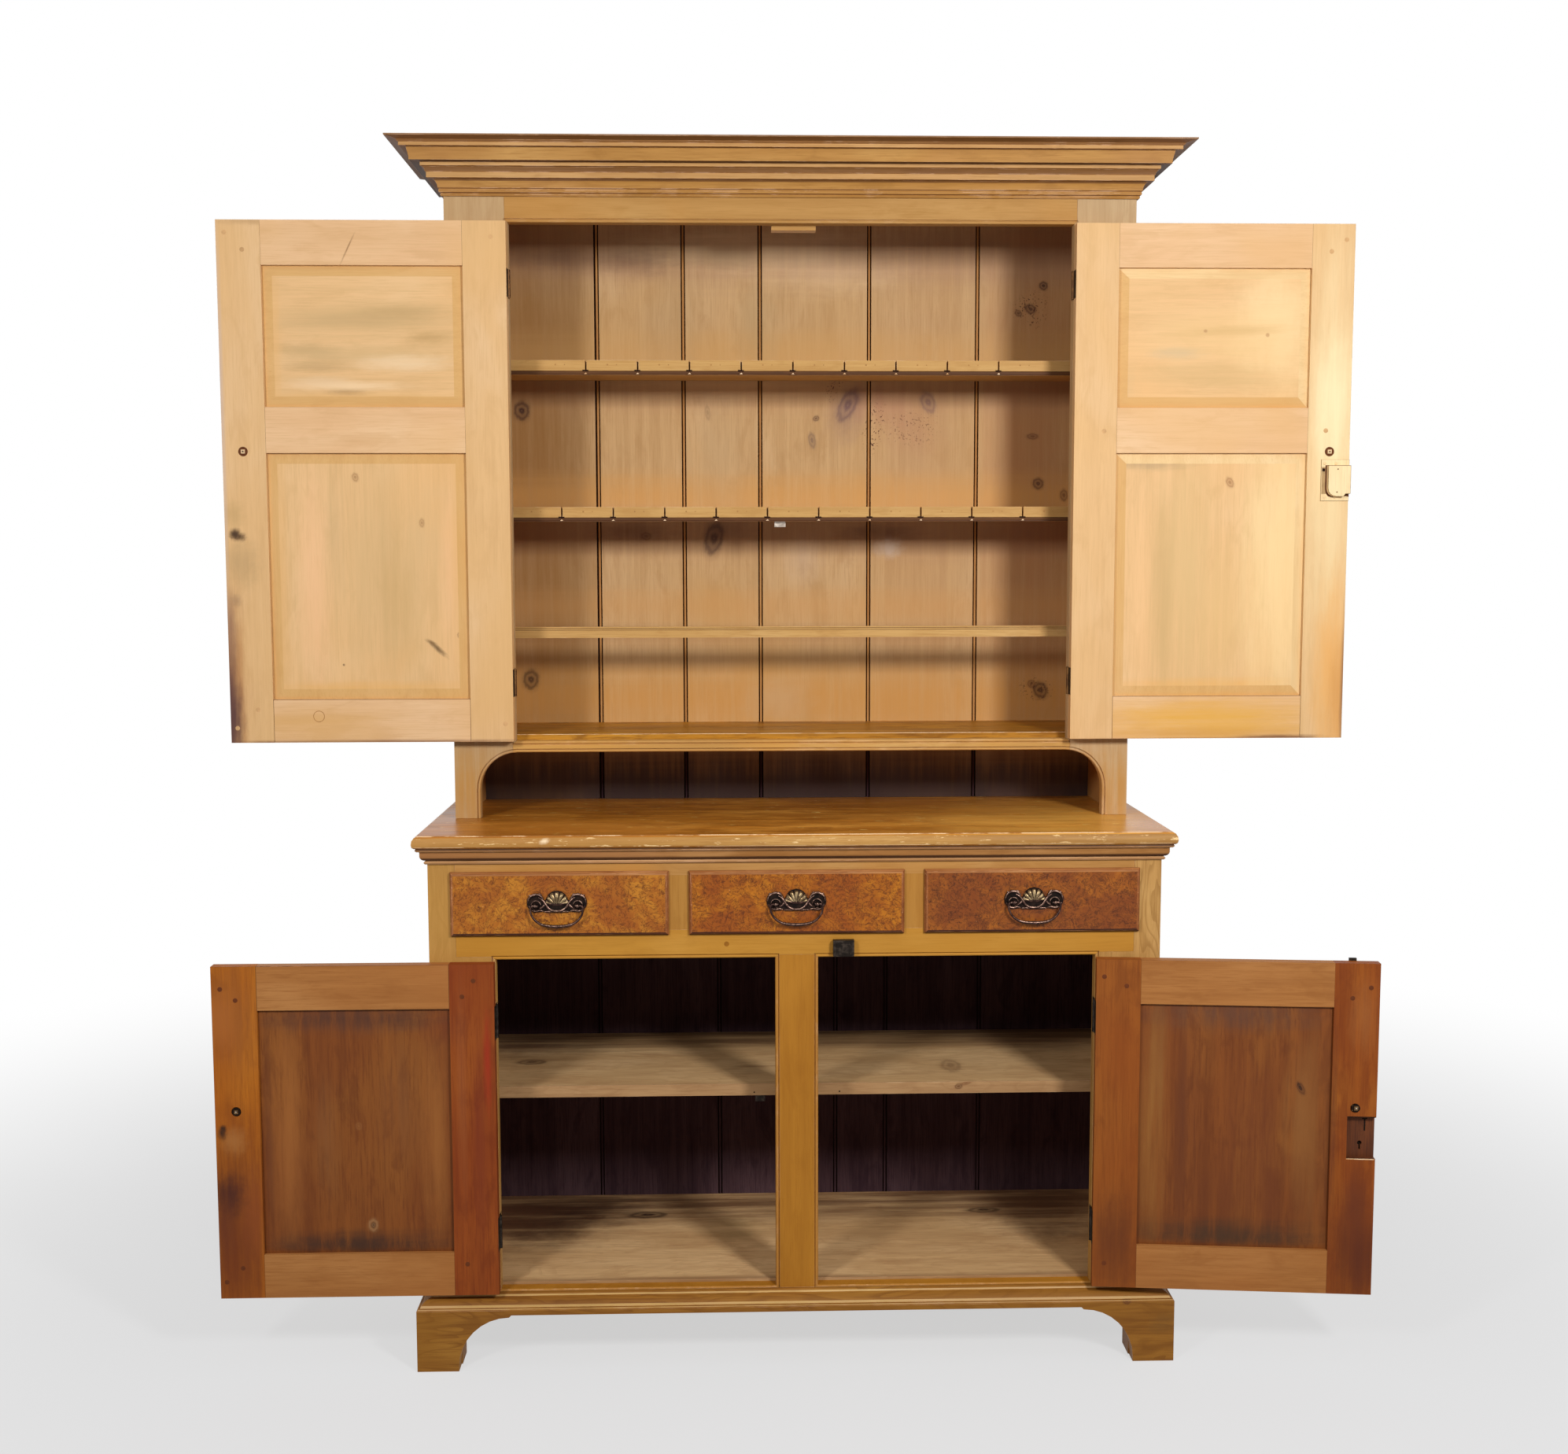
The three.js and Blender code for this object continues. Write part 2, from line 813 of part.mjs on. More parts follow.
function upperArchRail() {
  const outline = railOutline(upper_opening_bottom, -1, arch_crown - overrun);
  return cut(board(outline, step_back, upper_frame_back), upperBead(), archCutter(), archBead());
}

// The cornice's profile: [out, up] in shares of its overhang and height, from the bottom.
const cornice_shares = [
  [0, 0],
  [0.035, 0],
  [0.056, 0.028],
  [0.04, 0.055],
  [0.075, 0.072],
  [0.085, 0.105],
  [0.075, 0.135],
  [0.096, 0.155],
  [0.107, 0.222],
  [0.14, 0.28],
  [0.175, 0.31],
  [0.29, 0.31],
  [0.29, 0.42],
  [0.31, 0.425],
  [0.318, 0.472],
  [0.35, 0.51],
  [0.394, 0.522],
  [0.394, 0.59],
  [0.583, 0.59],
  [0.586, 0.66],
  [0.628, 0.83],
  [0.752, 0.826],
  [0.752, 0.896],
  [0.775, 0.9],
  [0.79, 0.933],
  [0.87, 0.956],
  [0.956, 0.965],
  [1, 0.972],
  [1, 1],
  [0, 1],
];

function corniceMoulding() {
  const bottom = overall_height - cornice_height;
  const profile = cornice_shares.map(([out, up]) => [
    fit + out * (cornice_overhang - fit),
    bottom + up * cornice_height,
  ]);
  return runRound(profile, upper_half, step_back, lower_depth);
}

// A shelf with a lip under its front edge, slit to hold spoons by their necks.
function spoonShelf(top, count) {
  const inside = upper_inside - fit;
  const underside = top - spoon_shelf_thickness;
  const front = spoon_shelf_front;
  const blank = join(
    shelfBoard(upper_inside, front, top, spoon_shelf_thickness),
    slab(-inside, inside, front, front + lip_depth, underside - lip_height, underside + lap)
  );
  const slots = [];
  for (let i = 0; i < count; i++) {
    const x = slot_offset + (i - (count - 1) / 2) * slot_pitch;
    slots.push(spoonSlit(x, front, underside, top), spoonNotch(x, front, underside));
  }
  return cut(blank, ...slots);
}

function spoonSlit(x, front, underside, top) {
  const half = slot_width / 2;
  const bottom = underside - lip_height - overrun;
  return slab(x - half, x + half, front - overrun, front + slot_depth, bottom, top + overrun);
}

// A wedge out of the lip, widest at its lower edge.
function spoonNotch(x, front, underside) {
  const half = slot_notch_width / 2;
  const bottom = underside - lip_height;
  const outline = [
    [x - half, bottom - overrun],
    [x - half, bottom],
    [x - slot_width / 2, underside - fit],
    [x + slot_width / 2, underside - fit],
    [x + half, bottom],
    [x + half, bottom - overrun],
  ];
  return board(outline, front - overrun, front + slot_notch_depth);
}

function plateRail() {
  const bottom = floor_board_top + plate_rail_rise;
  const inside = upper_inside - fit;
  return slab(
    -inside,
    inside,
    spoon_shelf_front,
    spoon_shelf_front + plate_rail_depth,
    bottom,
    bottom + plate_rail_height
  );
}

// Doors. Each is made shut, about its own hinge pin: x runs from the pin towards the free edge,
// times the door's hand, and y from the pin to the back. Heights are above the floor.

function upperDoor(side) {
  const share = upper_opening_half - door_gap - meeting_gap / 2;
  return {
    hand: -side,
    pin: [side * (upper_opening_half - door_gap / 2), step_back - pin_offset],
    width: share - side * meeting_offset,
    bottom: upper_opening_bottom + door_clearance,
    top: upper_opening_top - door_clearance,
    hinge_length: upper_hinge_length,
    face: step_back,
    jamb: side * upper_opening_half,
  };
}

function lowerDoor(side) {
  return {
    hand: -side,
    pin: [side * (lower_opening_outer - door_gap / 2), -pin_offset],
    width: lower_opening_width - 2 * door_gap,
    bottom: lower_opening_bottom + door_clearance,
    top: lower_opening_top - door_clearance,
    hinge_length: lower_hinge_length,
    face: 0,
    jamb: side * lower_opening_outer,
  };
}

// A distance from a door's hinge edge, as x from its pin.
function along(door, distance) {
  return door.hand * (door_gap / 2 + distance);
}

function hingeHeights(door) {
  return [door.bottom + hinge_inset, door.top - hinge_inset];
}

// Waste for the hinge's leaf and barrel in the stile that carries the door.
function hingeSeats(door) {
  const inward = door.hand;
  return hingeHeights(door).flatMap((height) => {
    const half = door.hinge_length / 2 + fit;
    return [
      slab(
        door.jamb + inward * overrun,
        door.jamb - inward * (leaf_thickness + fit),
        door.face - overrun,
        door.face + leaf_width + fit,
        height - half,
        height + half
      ),
      bar(barrel_radius + barrel_clearance, 2 * half, 12)
        .rotateX(Math.PI / 2)
        .translate(door.pin[0], door.pin[1], height),
    ];
  });
}

// The hinge's fixed leaf with its knuckles and pin.
function hinge(door, height) {
  const half = door.hinge_length / 2;
  return join(
    bar(barrel_radius, door.hinge_length, 12)
      .rotateX(Math.PI / 2)
      .translate(door.pin[0], door.pin[1], height),
    slab(
      door.jamb,
      door.jamb - door.hand * leaf_thickness,
      door.pin[1],
      door.face + leaf_width,
      height - half,
      height + half
    )
  );
}

// The openings between a door's stiles and rails, lowest first: [from, to, bottom, top].
function doorOpenings(door, panels) {
  const from = door_stile_width;
  const to = door.width - door_stile_width;
  const low = door.bottom + door_rail_width;
  const high = door.top - door_rail_width;
  if (panels === 1) return [[from, to, low, high]];
  const split = high - upper_panel_height;
  return [
    [from, to, low, split - lock_rail_width],
    [from, to, split, high],
  ];
}

function doorFrame(door, panels) {
  const face = pin_offset;
  const inner = face + door_thickness;
  const middle = face + door_thickness / 2;
  const blank = slab(along(door, 0), along(door, door.width), face, inner, door.bottom, door.top);
  const cutters = doorOpenings(door, panels).flatMap(([from, to, low, high]) => {
    const deep = panel_groove_depth;
    return [
      slab(along(door, from), along(door, to), face - overrun, inner + overrun, low, high),
      slab(
        along(door, from - deep),
        along(door, to + deep),
        middle - panel_groove_width / 2,
        middle + panel_groove_width / 2,
        low - deep,
        high + deep
      ),
    ];
  });
  for (const height of hingeHeights(door)) {
    cutters.push(
      bar(barrel_radius + barrel_clearance, door.hinge_length + 2 * lap, 12)
        .rotateX(Math.PI / 2)
        .translate(0, 0, height)
    );
  }
  return cut(blank, ...cutters, ...knobHole(door));
}

// A panel raised on both faces, its thin edges in the frame's groove.
function doorPanel(door, [from, to, low, high], bevel) {
  const middle = pin_offset + door_thickness / 2;
  const edge = panel_groove_depth - panel_room;
  const ring = (inset, depth) => {
    const [xa, xb] = [along(door, from + inset), along(door, to - inset)];
    const [za, zb] = [low + inset, high - inset];
    const corners = [
      [xa, za],
      [xb, za],
      [xb, zb],
      [xa, zb],
    ];
    return corners.map(([x, z]) => new THREE.Vector3(x, middle + depth, z));
  };
  const [field, tongue] = [panel_thickness / 2, panel_edge_thickness / 2];
  return skin(
    [
      ring(bevel, -field),
      ring(fit, -tongue),
      ring(-edge, -tongue),
      ring(-edge, tongue),
      ring(fit, tongue),
      ring(bevel, field),
    ],
    false
  );
}

function knobPlace(door) {
  return [along(door, door.width - knob_inset), door.bottom + door.knob_height];
}

function knobHole(door) {
  const [x, height] = knobPlace(door);
  const inner = pin_offset + door_thickness;
  const bore = knob_bolt_radius + fit;
  return [
    bar(bore, door_thickness + 2 * overrun, 16).translate(x, inner - door_thickness / 2, height),
    bar(counterbore_radius, 2 * counterbore_depth, 20).translate(x, inner, height),
  ];
}

// A turned wooden knob on a bolt, with its square nut sunk in the door's inner face.
const knob_shares = [
  [0, 0],
  [0.62, 0],
  [0.62, 0.08],
  [0.42, 0.2],
  [0.45, 0.34],
  [0.82, 0.48],
  [1, 0.66],
  [0.93, 0.85],
  [0.6, 0.97],
  [0, 1],
];

function knob(door) {
  const [x, height] = knobPlace(door);
  const outer = pin_offset - fit;
  const inner = pin_offset + door_thickness;
  const turned = new THREE.LatheGeometry(
    knob_shares.map(([r, h]) => new THREE.Vector2(r * knob_radius, h * knob_length)),
    20
  );
  const nut_seat = inner - counterbore_depth + fit;
  const nut_half = knob_nut_width / 2;
  const bolt_end = nut_seat + knob_nut_thickness;
  return join(
    turned.rotateX(Math.PI).translate(x, outer, height),
    bar(knob_bolt_radius, bolt_end - outer + lap, 12).translate(x, (bolt_end + outer - lap) / 2, height),
    slab(x - nut_half, x + nut_half, nut_seat, bolt_end, height - nut_half, height + nut_half)
  );
}

function keyhole(x, height, depth_from, depth_to) {
  const half = keyhole_slot_width / 2;
  const length = depth_to - depth_from + 2 * overrun;
  return [
    bar(keyhole_radius, length, 12).translate(x, (depth_from + depth_to) / 2, height),
    slab(
      x - half,
      x + half,
      depth_from - overrun,
      depth_to + overrun,
      height - keyhole_slot_height,
      height
    ),
  ];
}

// The height of the middle of the lock and its bolt.
function lockMiddle(door) {
  return door.bottom + door.knob_height - lock_drop - lock_height / 2;
}

function upperRightFrame(door) {
  const height = lockMiddle(door);
  const x = along(door, door.width - lock_width / 2);
  return cut(doorFrame(door, 2), ...keyhole(x, height, pin_offset, pin_offset + door_thickness));
}

function lowerRightFrame(door) {
  const inner = pin_offset + door_thickness;
  const top = door.bottom + door.knob_height - mortise_drop;
  const start = door.width - mortise_width;
  return cut(
    doorFrame(door, 1),
    slab(
      along(door, start),
      along(door, door.width + overrun),
      inner - mortise_depth,
      inner + overrun,
      top - mortise_height,
      top
    ),
    ...keyhole(
      along(door, start + keyhole_inset),
      top - mortise_height + keyhole_inset,
      pin_offset,
      inner
    )
  );
}

// The rim lock's case on the inner face, with an open channel for its bolt.
function lockCase(door) {
  const back = pin_offset + door_thickness + fit;
  const middle = lockMiddle(door);
  const free_edge = along(door, door.width);
  const [channel_from, channel_to] = boltDepths();
  const channel_half = bolt_height / 2 + fit;
  return cut(
    join(
      slab(
        along(door, door.width - lock_width),
        free_edge,
        back,
        back + lock_plate_thickness,
        middle - lock_height / 2,
        middle + lock_height / 2
      ),
      slab(
        along(door, door.width - lock_case_width),
        free_edge,
        back + lock_plate_thickness - lap,
        back + lock_plate_thickness + lock_case_depth,
        middle - lock_case_height / 2,
        middle + lock_case_height / 2
      )
    ),
    slab(
      along(door, door.width - bolt_length - lap),
      along(door, door.width + overrun),
      channel_from - fit,
      channel_to + fit,
      middle - channel_half,
      middle + channel_half
    )
  );
}

function boltDepths() {
  const from = pin_offset + door_thickness + fit + bolt_setback + fit;
  return [from, from + bolt_thickness];
}

function lockBolt(door) {
  const middle = lockMiddle(door);
  const [from, to] = boltDepths();
  const half = bolt_height / 2;
  return slab(
    along(door, door.width - bolt_length),
    along(door, door.width),
    from,
    to,
    middle - half,
    middle + half
  );
}

// The iron keeper on the drawer rail, open below, and the plate on the door that passes under it.
function latchKeeper() {
  const bottom = lower_opening_top - door_clearance + catch_plate_rise + catch_gap;
  const half = keeper_width / 2;
  const x = keeper_distance;
  return cut(
    slab(x - half, x + half, -keeper_depth, -fit, bottom, bottom + keeper_height),
    slab(
      x - half + keeper_wall,
      x + half - keeper_wall,
      -keeper_depth + keeper_wall,
      -fit - keeper_wall / 2,
      bottom - overrun,
      bottom + keeper_height - keeper_wall
    )
  );
}

function catchPlate(door) {
  const top = door.top + catch_plate_rise;
  const x = keeper_distance - door.pin[0];
  const half = catch_plate_width / 2;
  const outer = pin_offset - fit;
  return slab(x - half, x + half, outer - catch_plate_thickness, outer, top - catch_plate_height, top);
}

// Drawers, each made shut in the case's own frame

function drawerSpan(index) {
  if (index === 0) return [-middle_opening_half, middle_opening_half];
  const [near, far] = [index * drawer_opening_inner, index * drawer_opening_outer];
  return [Math.min(near, far), Math.max(near, far)];
}

function drawerBox(index) {
  const [left, right] = drawerSpan(index);
  const [low, high] = [drawer_opening_bottom, drawer_opening_top];
  const ring = (inset, y) => {
    const out = drawer_lip - inset;
    const [xa, xb, za, zb] = [left - out, right + out, low - out, high + out];
    const corners = [
      [xa, za],
      [xb, za],
      [xb, zb],
      [xa, zb],
    ];
    return corners.map(([x, z]) => new THREE.Vector3(x, y, z));
  };
  const proud = -drawer_front_proud;
  const front = skin(
    [
      ring(0, -fit),
      ring(0, proud + drawer_ovolo),
      ring(drawer_ovolo / 3, proud + drawer_ovolo / 2),
      ring(drawer_ovolo / 2, proud + drawer_ovolo / 6),
      ring(drawer_ovolo, proud),
    ],
    false
  );
  const [xa, xb] = [left + drawer_side_room, right - drawer_side_room];
  const [za, zb] = [low + drawer_floor_room, high - drawer_head_room];
  const inside = drawer_front_inside;
  const floor = za + drawer_bottom_rise;
  const box = cut(
    slab(xa, xb, -fit - lap, drawer_back, za, zb),
    slab(
      xa + drawer_board,
      xb - drawer_board,
      inside,
      drawer_back - drawer_board,
      floor + drawer_bottom_thickness,
      zb + overrun
    ),
    slab(xa + drawer_board, xb - drawer_board, inside, drawer_back + overrun, za - overrun, floor)
  );
  return join(front, box);
}

function pullPlace(index) {
  const [left, right] = drawerSpan(index);
  const shift = [left_pull_shift, middle_pull_shift, right_pull_shift][index + 1];
  const height = drawer_opening_bottom - drawer_lip + pull_height;
  return [(left + right) / 2 + shift, -drawer_front_proud - fit, height];
}

// Half of the plate's outline: [x, z] in shares of half its width, and of its rise or drop.
const plate_shares = [
  [0.15, 0.94],
  [0.28, 0.74],
  [0.34, 0.46],
  [0.44, 0.3],
  [0.53, 0.5],
  [0.62, 0.72],
  [0.76, 0.78],
  [0.92, 0.62],
  [1, 0.28],
  [0.95, -0.3],
  [0.82, -0.85],
  [0.6, -1],
  [0.36, -0.82],
  [0.12, -1],
];

// The stamped plate with its shell, and two posts bored across for the bail.
function pullPlate() {
  const half = plate_shares.map(([x, z]) => [
    (x * pull_width) / 2,
    z * (z > 0 ? pull_rise : pull_drop),
  ]);
  const outline = [[0, pull_rise], ...half, ...onSide(-1, half).reverse()];
  const plate = board(outline, -pull_plate_thickness, 0);
  const shell = new THREE.SphereGeometry(1, 16, 10)
    .scale(shell_radius, shell_height, shell_radius)
    .translate(0, -pull_plate_thickness, pull_rise - shell_radius - lap);
  const backless = cut(
    shell,
    slab(-shell_radius, shell_radius, -lap, shell_height, -pull_drop - shell_radius, pull_rise)
  );
  const lumps = [plate, backless];
  for (const side of [-1, 1]) {
    const x = (side * post_spacing) / 2;
    const rise = -pull_plate_thickness;
    lumps.push(
      bar(rosette_radius, rosette_thickness + lap, 16).translate(x, rise - rosette_thickness / 2, 0),
      bar(post_radius, post_length + lap, 12).translate(x, rise - post_length / 2, 0)
    );
  }
  const bore = bar(bail_radius + bail_clearance, post_spacing + 4 * post_radius, 12)
    .rotateZ(Math.PI / 2)
    .translate(0, -pull_plate_thickness - bail_standoff, 0);
  const between = post_spacing / 2 - post_radius - lap;
  const keep = slab(-between, between, -pull_width, pull_width, -pull_width, pull_width);
  return cut(join(...lumps), cut(bore, keep));
}

// The bail about its own axis, hanging down: out of one post, round, and into the other.
const bail_shares = [
  [1, -0.1],
  [0.97, -0.4],
  [0.8, -0.72],
  [0.5, -0.93],
];

function bailHandle() {
  const inner = post_spacing / 2 - post_radius + lap;
  const outer = post_spacing / 2 + post_radius + bail_clearance;
  const half = bail_shares.map(([x, z]) => [x * bail_half_width, z * bail_drop]);
  const drop = [[outer, 0], ...half];
  const bends = [...onSide(-1, drop), [0, -bail_drop], ...drop.reverse()];
  const curve = new THREE.CatmullRomCurve3(bends.map(([x, z]) => new THREE.Vector3(x, 0, z)));
  return rod(
    [
      new THREE.Vector3(-inner, 0, 0),
      ...curve.getPoints(bail_steps),
      new THREE.Vector3(inner, 0, 0),
    ],
    bail_radius,
    bail_sides
  );
}

// A round rod along points in the plane y = 0.
function rod(points, radius, sides) {
  const rings = points.map((point, i) => {
    const before = points[Math.max(i - 1, 0)];
    const after = points[Math.min(i + 1, points.length - 1)];
    const into = new THREE.Vector3().subVectors(point, before).normalize();
    const out = new THREE.Vector3().subVectors(after, point).normalize();
    const heading = into.add(out).normalize();
    const ring = [];
    for (let s = 0; s < sides; s++) {
      const turn = (s / sides) * 2 * Math.PI;
      const across = radius * Math.cos(turn);
      ring.push(
        new THREE.Vector3(heading.z * across, radius * Math.sin(turn), -heading.x * across).add(point)
      );
    }
    return ring;
  });
  return skin(rings, false);
}

// The assembly

const cupboard = new THREE.Group();
cupboard.position.y = -middle_depth;

function add(parent, name, finish, geometry) {
  const mesh = new THREE.Mesh(geometry, new THREE.MeshStandardMaterial(finishes[finish]));
  mesh.name = name;
  parent.add(mesh);
  return mesh;
}

function hang(door, open_angle) {
  const group = new THREE.Group();
  group.position.set(door.pin[0], door.pin[1], 0);
  group.rotation.z = -door.hand * THREE.MathUtils.degToRad(open_angle);
  cupboard.add(group);
  return group;
}

function addLowerCase() {
  for (const [word, side] of [
    ["left", -1],
    ["right", 1],
  ]) {
    add(cupboard, "lower_side_" + word, "outside_paint", lowerSide(side));
    add(cupboard, "lower_stile_" + word, "outside_paint", lowerStile(side));
  }
  const boards = backBoards(
    lower_inside - fit,
    case_clearance,
    counter_underside - fit,
    lower_joint_shares
  );
  add(cupboard, "lower_back_boards", "dark_wood", boards);
  const floor = shelfBoard(lower_inside, frame_thickness + fit, bottom_board_top, shelf_thickness);
  const shelf = shelfBoard(lower_inside, lower_shelf_setback, lower_shelf_top, shelf_thickness);
  add(cupboard, "lower_bottom_board", "bare_pine", floor);
  add(cupboard, "lower_shelf", "bare_pine", shelf);
  add(cupboard, "lower_centre_frame", "outside_paint", centreFrame());
  add(cupboard, "drawer_frame", "outside_paint", drawerFrame());
  add(cupboard, "counter_top", "counter_paint", counterTop());
  add(cupboard, "counter_moulding", "outside_paint", counterMoulding());
  add(cupboard, "bracket_base", "outside_paint", bracketBase());
  add(cupboard, "latch_keeper", "iron", latchKeeper());
}

function addUpperCase() {
  for (const [word, side] of [
    ["left", -1],
    ["right", 1],
  ]) {
    add(cupboard, "upper_side_" + word, "outside_paint", upperSide(side));
    add(cupboard, "upper_stile_" + word, "outside_paint", upperStile(side));
  }
  const boards = backBoards(
    upper_inside - fit,
    counter_top + fit,
    upper_case_top,
    upper_joint_shares
  );
  add(cupboard, "upper_back_boards", "inside_paint", boards);
  const front = upper_frame_back + fit;
  const floor = shelfBoard(upper_inside, front, floor_board_top, shelf_thickness);
  const top = shelfBoard(upper_inside, front, upper_case_top, top_board_thickness);
  add(cupboard, "upper_floor_board", "inside_paint", floor);
  add(cupboard, "upper_top_board", "bare_pine", top);
  add(cupboard, "upper_top_rail", "outside_paint", upperTopRail());
  add(cupboard, "upper_arch_rail", "outside_paint", upperArchRail());
  add(cupboard, "cornice", "outside_paint", corniceMoulding());
  add(cupboard, "spoon_shelf_upper", "inside_paint", spoonShelf(upper_spoon_shelf_top, upper_slot_count));
  add(
    cupboard,
    "spoon_shelf_lower",
    "inside_paint",
    spoonShelf(lower_spoon_shelf_top, lower_slot_count)
  );
  add(cupboard, "plate_rail", "inside_paint", plateRail());
}

function addHinges(name, door) {
  hingeHeights(door).forEach((height, i) => {
    add(cupboard, ["hinge", name, ["bottom", "top"][i]].join("_"), "iron", hinge(door, height));
  });
}

function addUpperDoor(word, side, open_angle) {
  const door = { ...upperDoor(side), knob_height: upper_knob_height };
  const group = hang(door, open_angle);
  const frame = side < 0 ? doorFrame(door, 2) : upperRightFrame(door);
  add(group, "upper_" + word + "_door_frame", "door_paint", frame);
  doorOpenings(door, 2).forEach((opening, i) => {
    const name = ["upper", word, "door_panel", ["lower", "upper"][i]].join("_");
    add(group, name, "door_paint", doorPanel(door, opening, upper_bevel_width));
  });
  add(group, "upper_" + word + "_knob", "outside_paint", knob(door));
  addHinges("upper_" + word, door);
  if (side > 0) {
    add(group, "lock_case", "door_paint", lockCase(door));
    add(group, "lock_bolt", "iron", lockBolt(door));
  }
}

function addLowerDoor(word, side, open_angle) {
  const door = { ...lowerDoor(side), knob_height: lower_knob_height };
  const group = hang(door, open_angle);
  const frame = side < 0 ? doorFrame(door, 1) : lowerRightFrame(door);
  add(group, "lower_" + word + "_door_frame", "red_wood", frame);
  const panel = doorPanel(door, doorOpenings(door, 1)[0], lower_bevel_width);
  add(group, "lower_" + word + "_door_panel", "red_wood", panel);
  add(group, "lower_" + word + "_knob", "outside_paint", knob(door));
  addHinges("lower_" + word, door);
  if (side > 0) add(group, "catch_plate", "iron", catchPlate(door));
}

function addDrawer(word, index) {
  add(cupboard, "drawer_" + word, "burl_paint", drawerBox(index));
  const pull = new THREE.Group();
  pull.position.set(...pullPlace(index));
  cupboard.add(pull);
  add(pull, "pull_plate_" + word, "brass", pullPlate());
  const bail = new THREE.Group();
  bail.position.y = -pull_plate_thickness - bail_standoff;
  pull.add(bail);
  add(bail, "bail_" + word, "brass", bailHandle());
}

addLowerCase();
addUpperCase();
addUpperDoor("left", -1, upper_left_angle);
addUpperDoor("right", 1, upper_right_angle);
addLowerDoor("left", -1, lower_left_angle);
addLowerDoor("right", 1, lower_right_angle);
addDrawer("left", -1);
addDrawer("middle", 0);
addDrawer("right", 1);

const root = new THREE.Group();
root.add(cupboard);
export default root;
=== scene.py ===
"""Dresses the step back cupboard: boards with their own grain, mouldings, brass pulls, ironwork and marks.

Places are written in millimetres, as the CAD has them: x to the right of the cupboard's middle, y behind
the lower case's face and z above the floor. place() turns them into the frame's metres.
"""
import json
import math
import random
from types import SimpleNamespace

import bmesh
import bpy
from mathutils import Matrix, Vector


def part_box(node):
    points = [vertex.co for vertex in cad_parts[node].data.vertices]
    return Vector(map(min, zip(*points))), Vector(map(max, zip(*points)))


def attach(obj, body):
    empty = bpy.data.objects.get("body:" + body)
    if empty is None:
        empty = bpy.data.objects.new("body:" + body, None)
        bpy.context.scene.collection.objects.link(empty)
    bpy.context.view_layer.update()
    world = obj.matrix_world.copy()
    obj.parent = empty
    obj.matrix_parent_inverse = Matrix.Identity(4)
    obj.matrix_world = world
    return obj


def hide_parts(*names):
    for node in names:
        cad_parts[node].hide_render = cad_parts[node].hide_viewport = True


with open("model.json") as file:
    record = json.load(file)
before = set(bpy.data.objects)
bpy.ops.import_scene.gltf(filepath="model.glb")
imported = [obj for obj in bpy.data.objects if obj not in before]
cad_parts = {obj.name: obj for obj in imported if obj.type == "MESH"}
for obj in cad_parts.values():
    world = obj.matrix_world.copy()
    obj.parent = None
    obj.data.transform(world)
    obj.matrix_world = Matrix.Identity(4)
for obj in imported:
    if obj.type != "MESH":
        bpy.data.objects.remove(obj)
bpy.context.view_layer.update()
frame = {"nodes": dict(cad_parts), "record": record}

MM = 0.001

# The photograph's camera and lamps, in the places' millimetres
CAMERA_PLACE = (-112.0, -3034.6, 1441.0)
CAMERA_TURNS = (1.7, -5.5, -0.1)  # yaw, pitch and roll
LENS = 40.07
SENSOR = 36.0
LAMPS = {
    "lamp_left": ((-1560.0, -2250.0, 2200.0), 30.7),
    "lamp_right": ((1250.0, -2250.0, 2200.0), 53.0),
}
LAMP_SIZE = (380.0, 500.0)
LAMP_AIM = (0.0, 100.0, 1200.0)
CEILING = (0.12, 0.8)  # between which sines of the height above the horizon the room's light grows
ROOM_LIGHT = (0.04, 0.5)
FLOOR_SIZE = 9.0
FLOOR_COLOUR = (0.45, 0.45, 0.46, 1)
FLOOR_FADE = (1.1, 3.4)  # between which distances the floor fades into the white background
FLOOR_GLOW = (0.6, 1.0)

# Mesh work
WELD = 1e-6
FLAT = math.radians(0.6)
SHARP = math.radians(32)
SMOOTH = math.radians(46)
EDGE = 0.9  # rounding of a board's edges
FINE_EDGE = 0.4
SEAM_EDGE = 0.65
IRON_EDGE = 0.3
RIM = 3.0  # how near a door's edge the wear on its outer edges reaches
SKIN = 0.1  # how far thin metal and painted lines stand in front of what they lie on

WHITE = (1, 1, 1, 1)
SIDES = {"left": -1, "right": 1}
UP = Vector((0, 0, 1))
BACK = Vector((0, 1, 0))
RIGHT = Vector((1, 0, 0))

FACE_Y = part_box("lower_stile_left")[0].y


def place(x, y, z):
    return Vector((x * MM, FACE_Y + y * MM, z * MM))


def in_mm(point):
    """The place of a point in metres: the reverse of place()."""
    return Vector((point.x / MM, (point.y - FACE_Y) / MM, point.z / MM))


def edges_of(node):
    """A node's lowest and highest corners as places."""
    return [in_mm(corner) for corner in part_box(node)]


# Materials

def tone(code):
    """A linear colour from the hex code of what a picture shows."""
    def linear(value):
        share = value / 255
        return share / 12.92 if share <= 0.04045 else ((share + 0.055) / 1.055) ** 2.4
    return (*map(linear, bytes.fromhex(code)), 1.0)


def tones(codes):
    return [tone(code) for code in codes.split()]


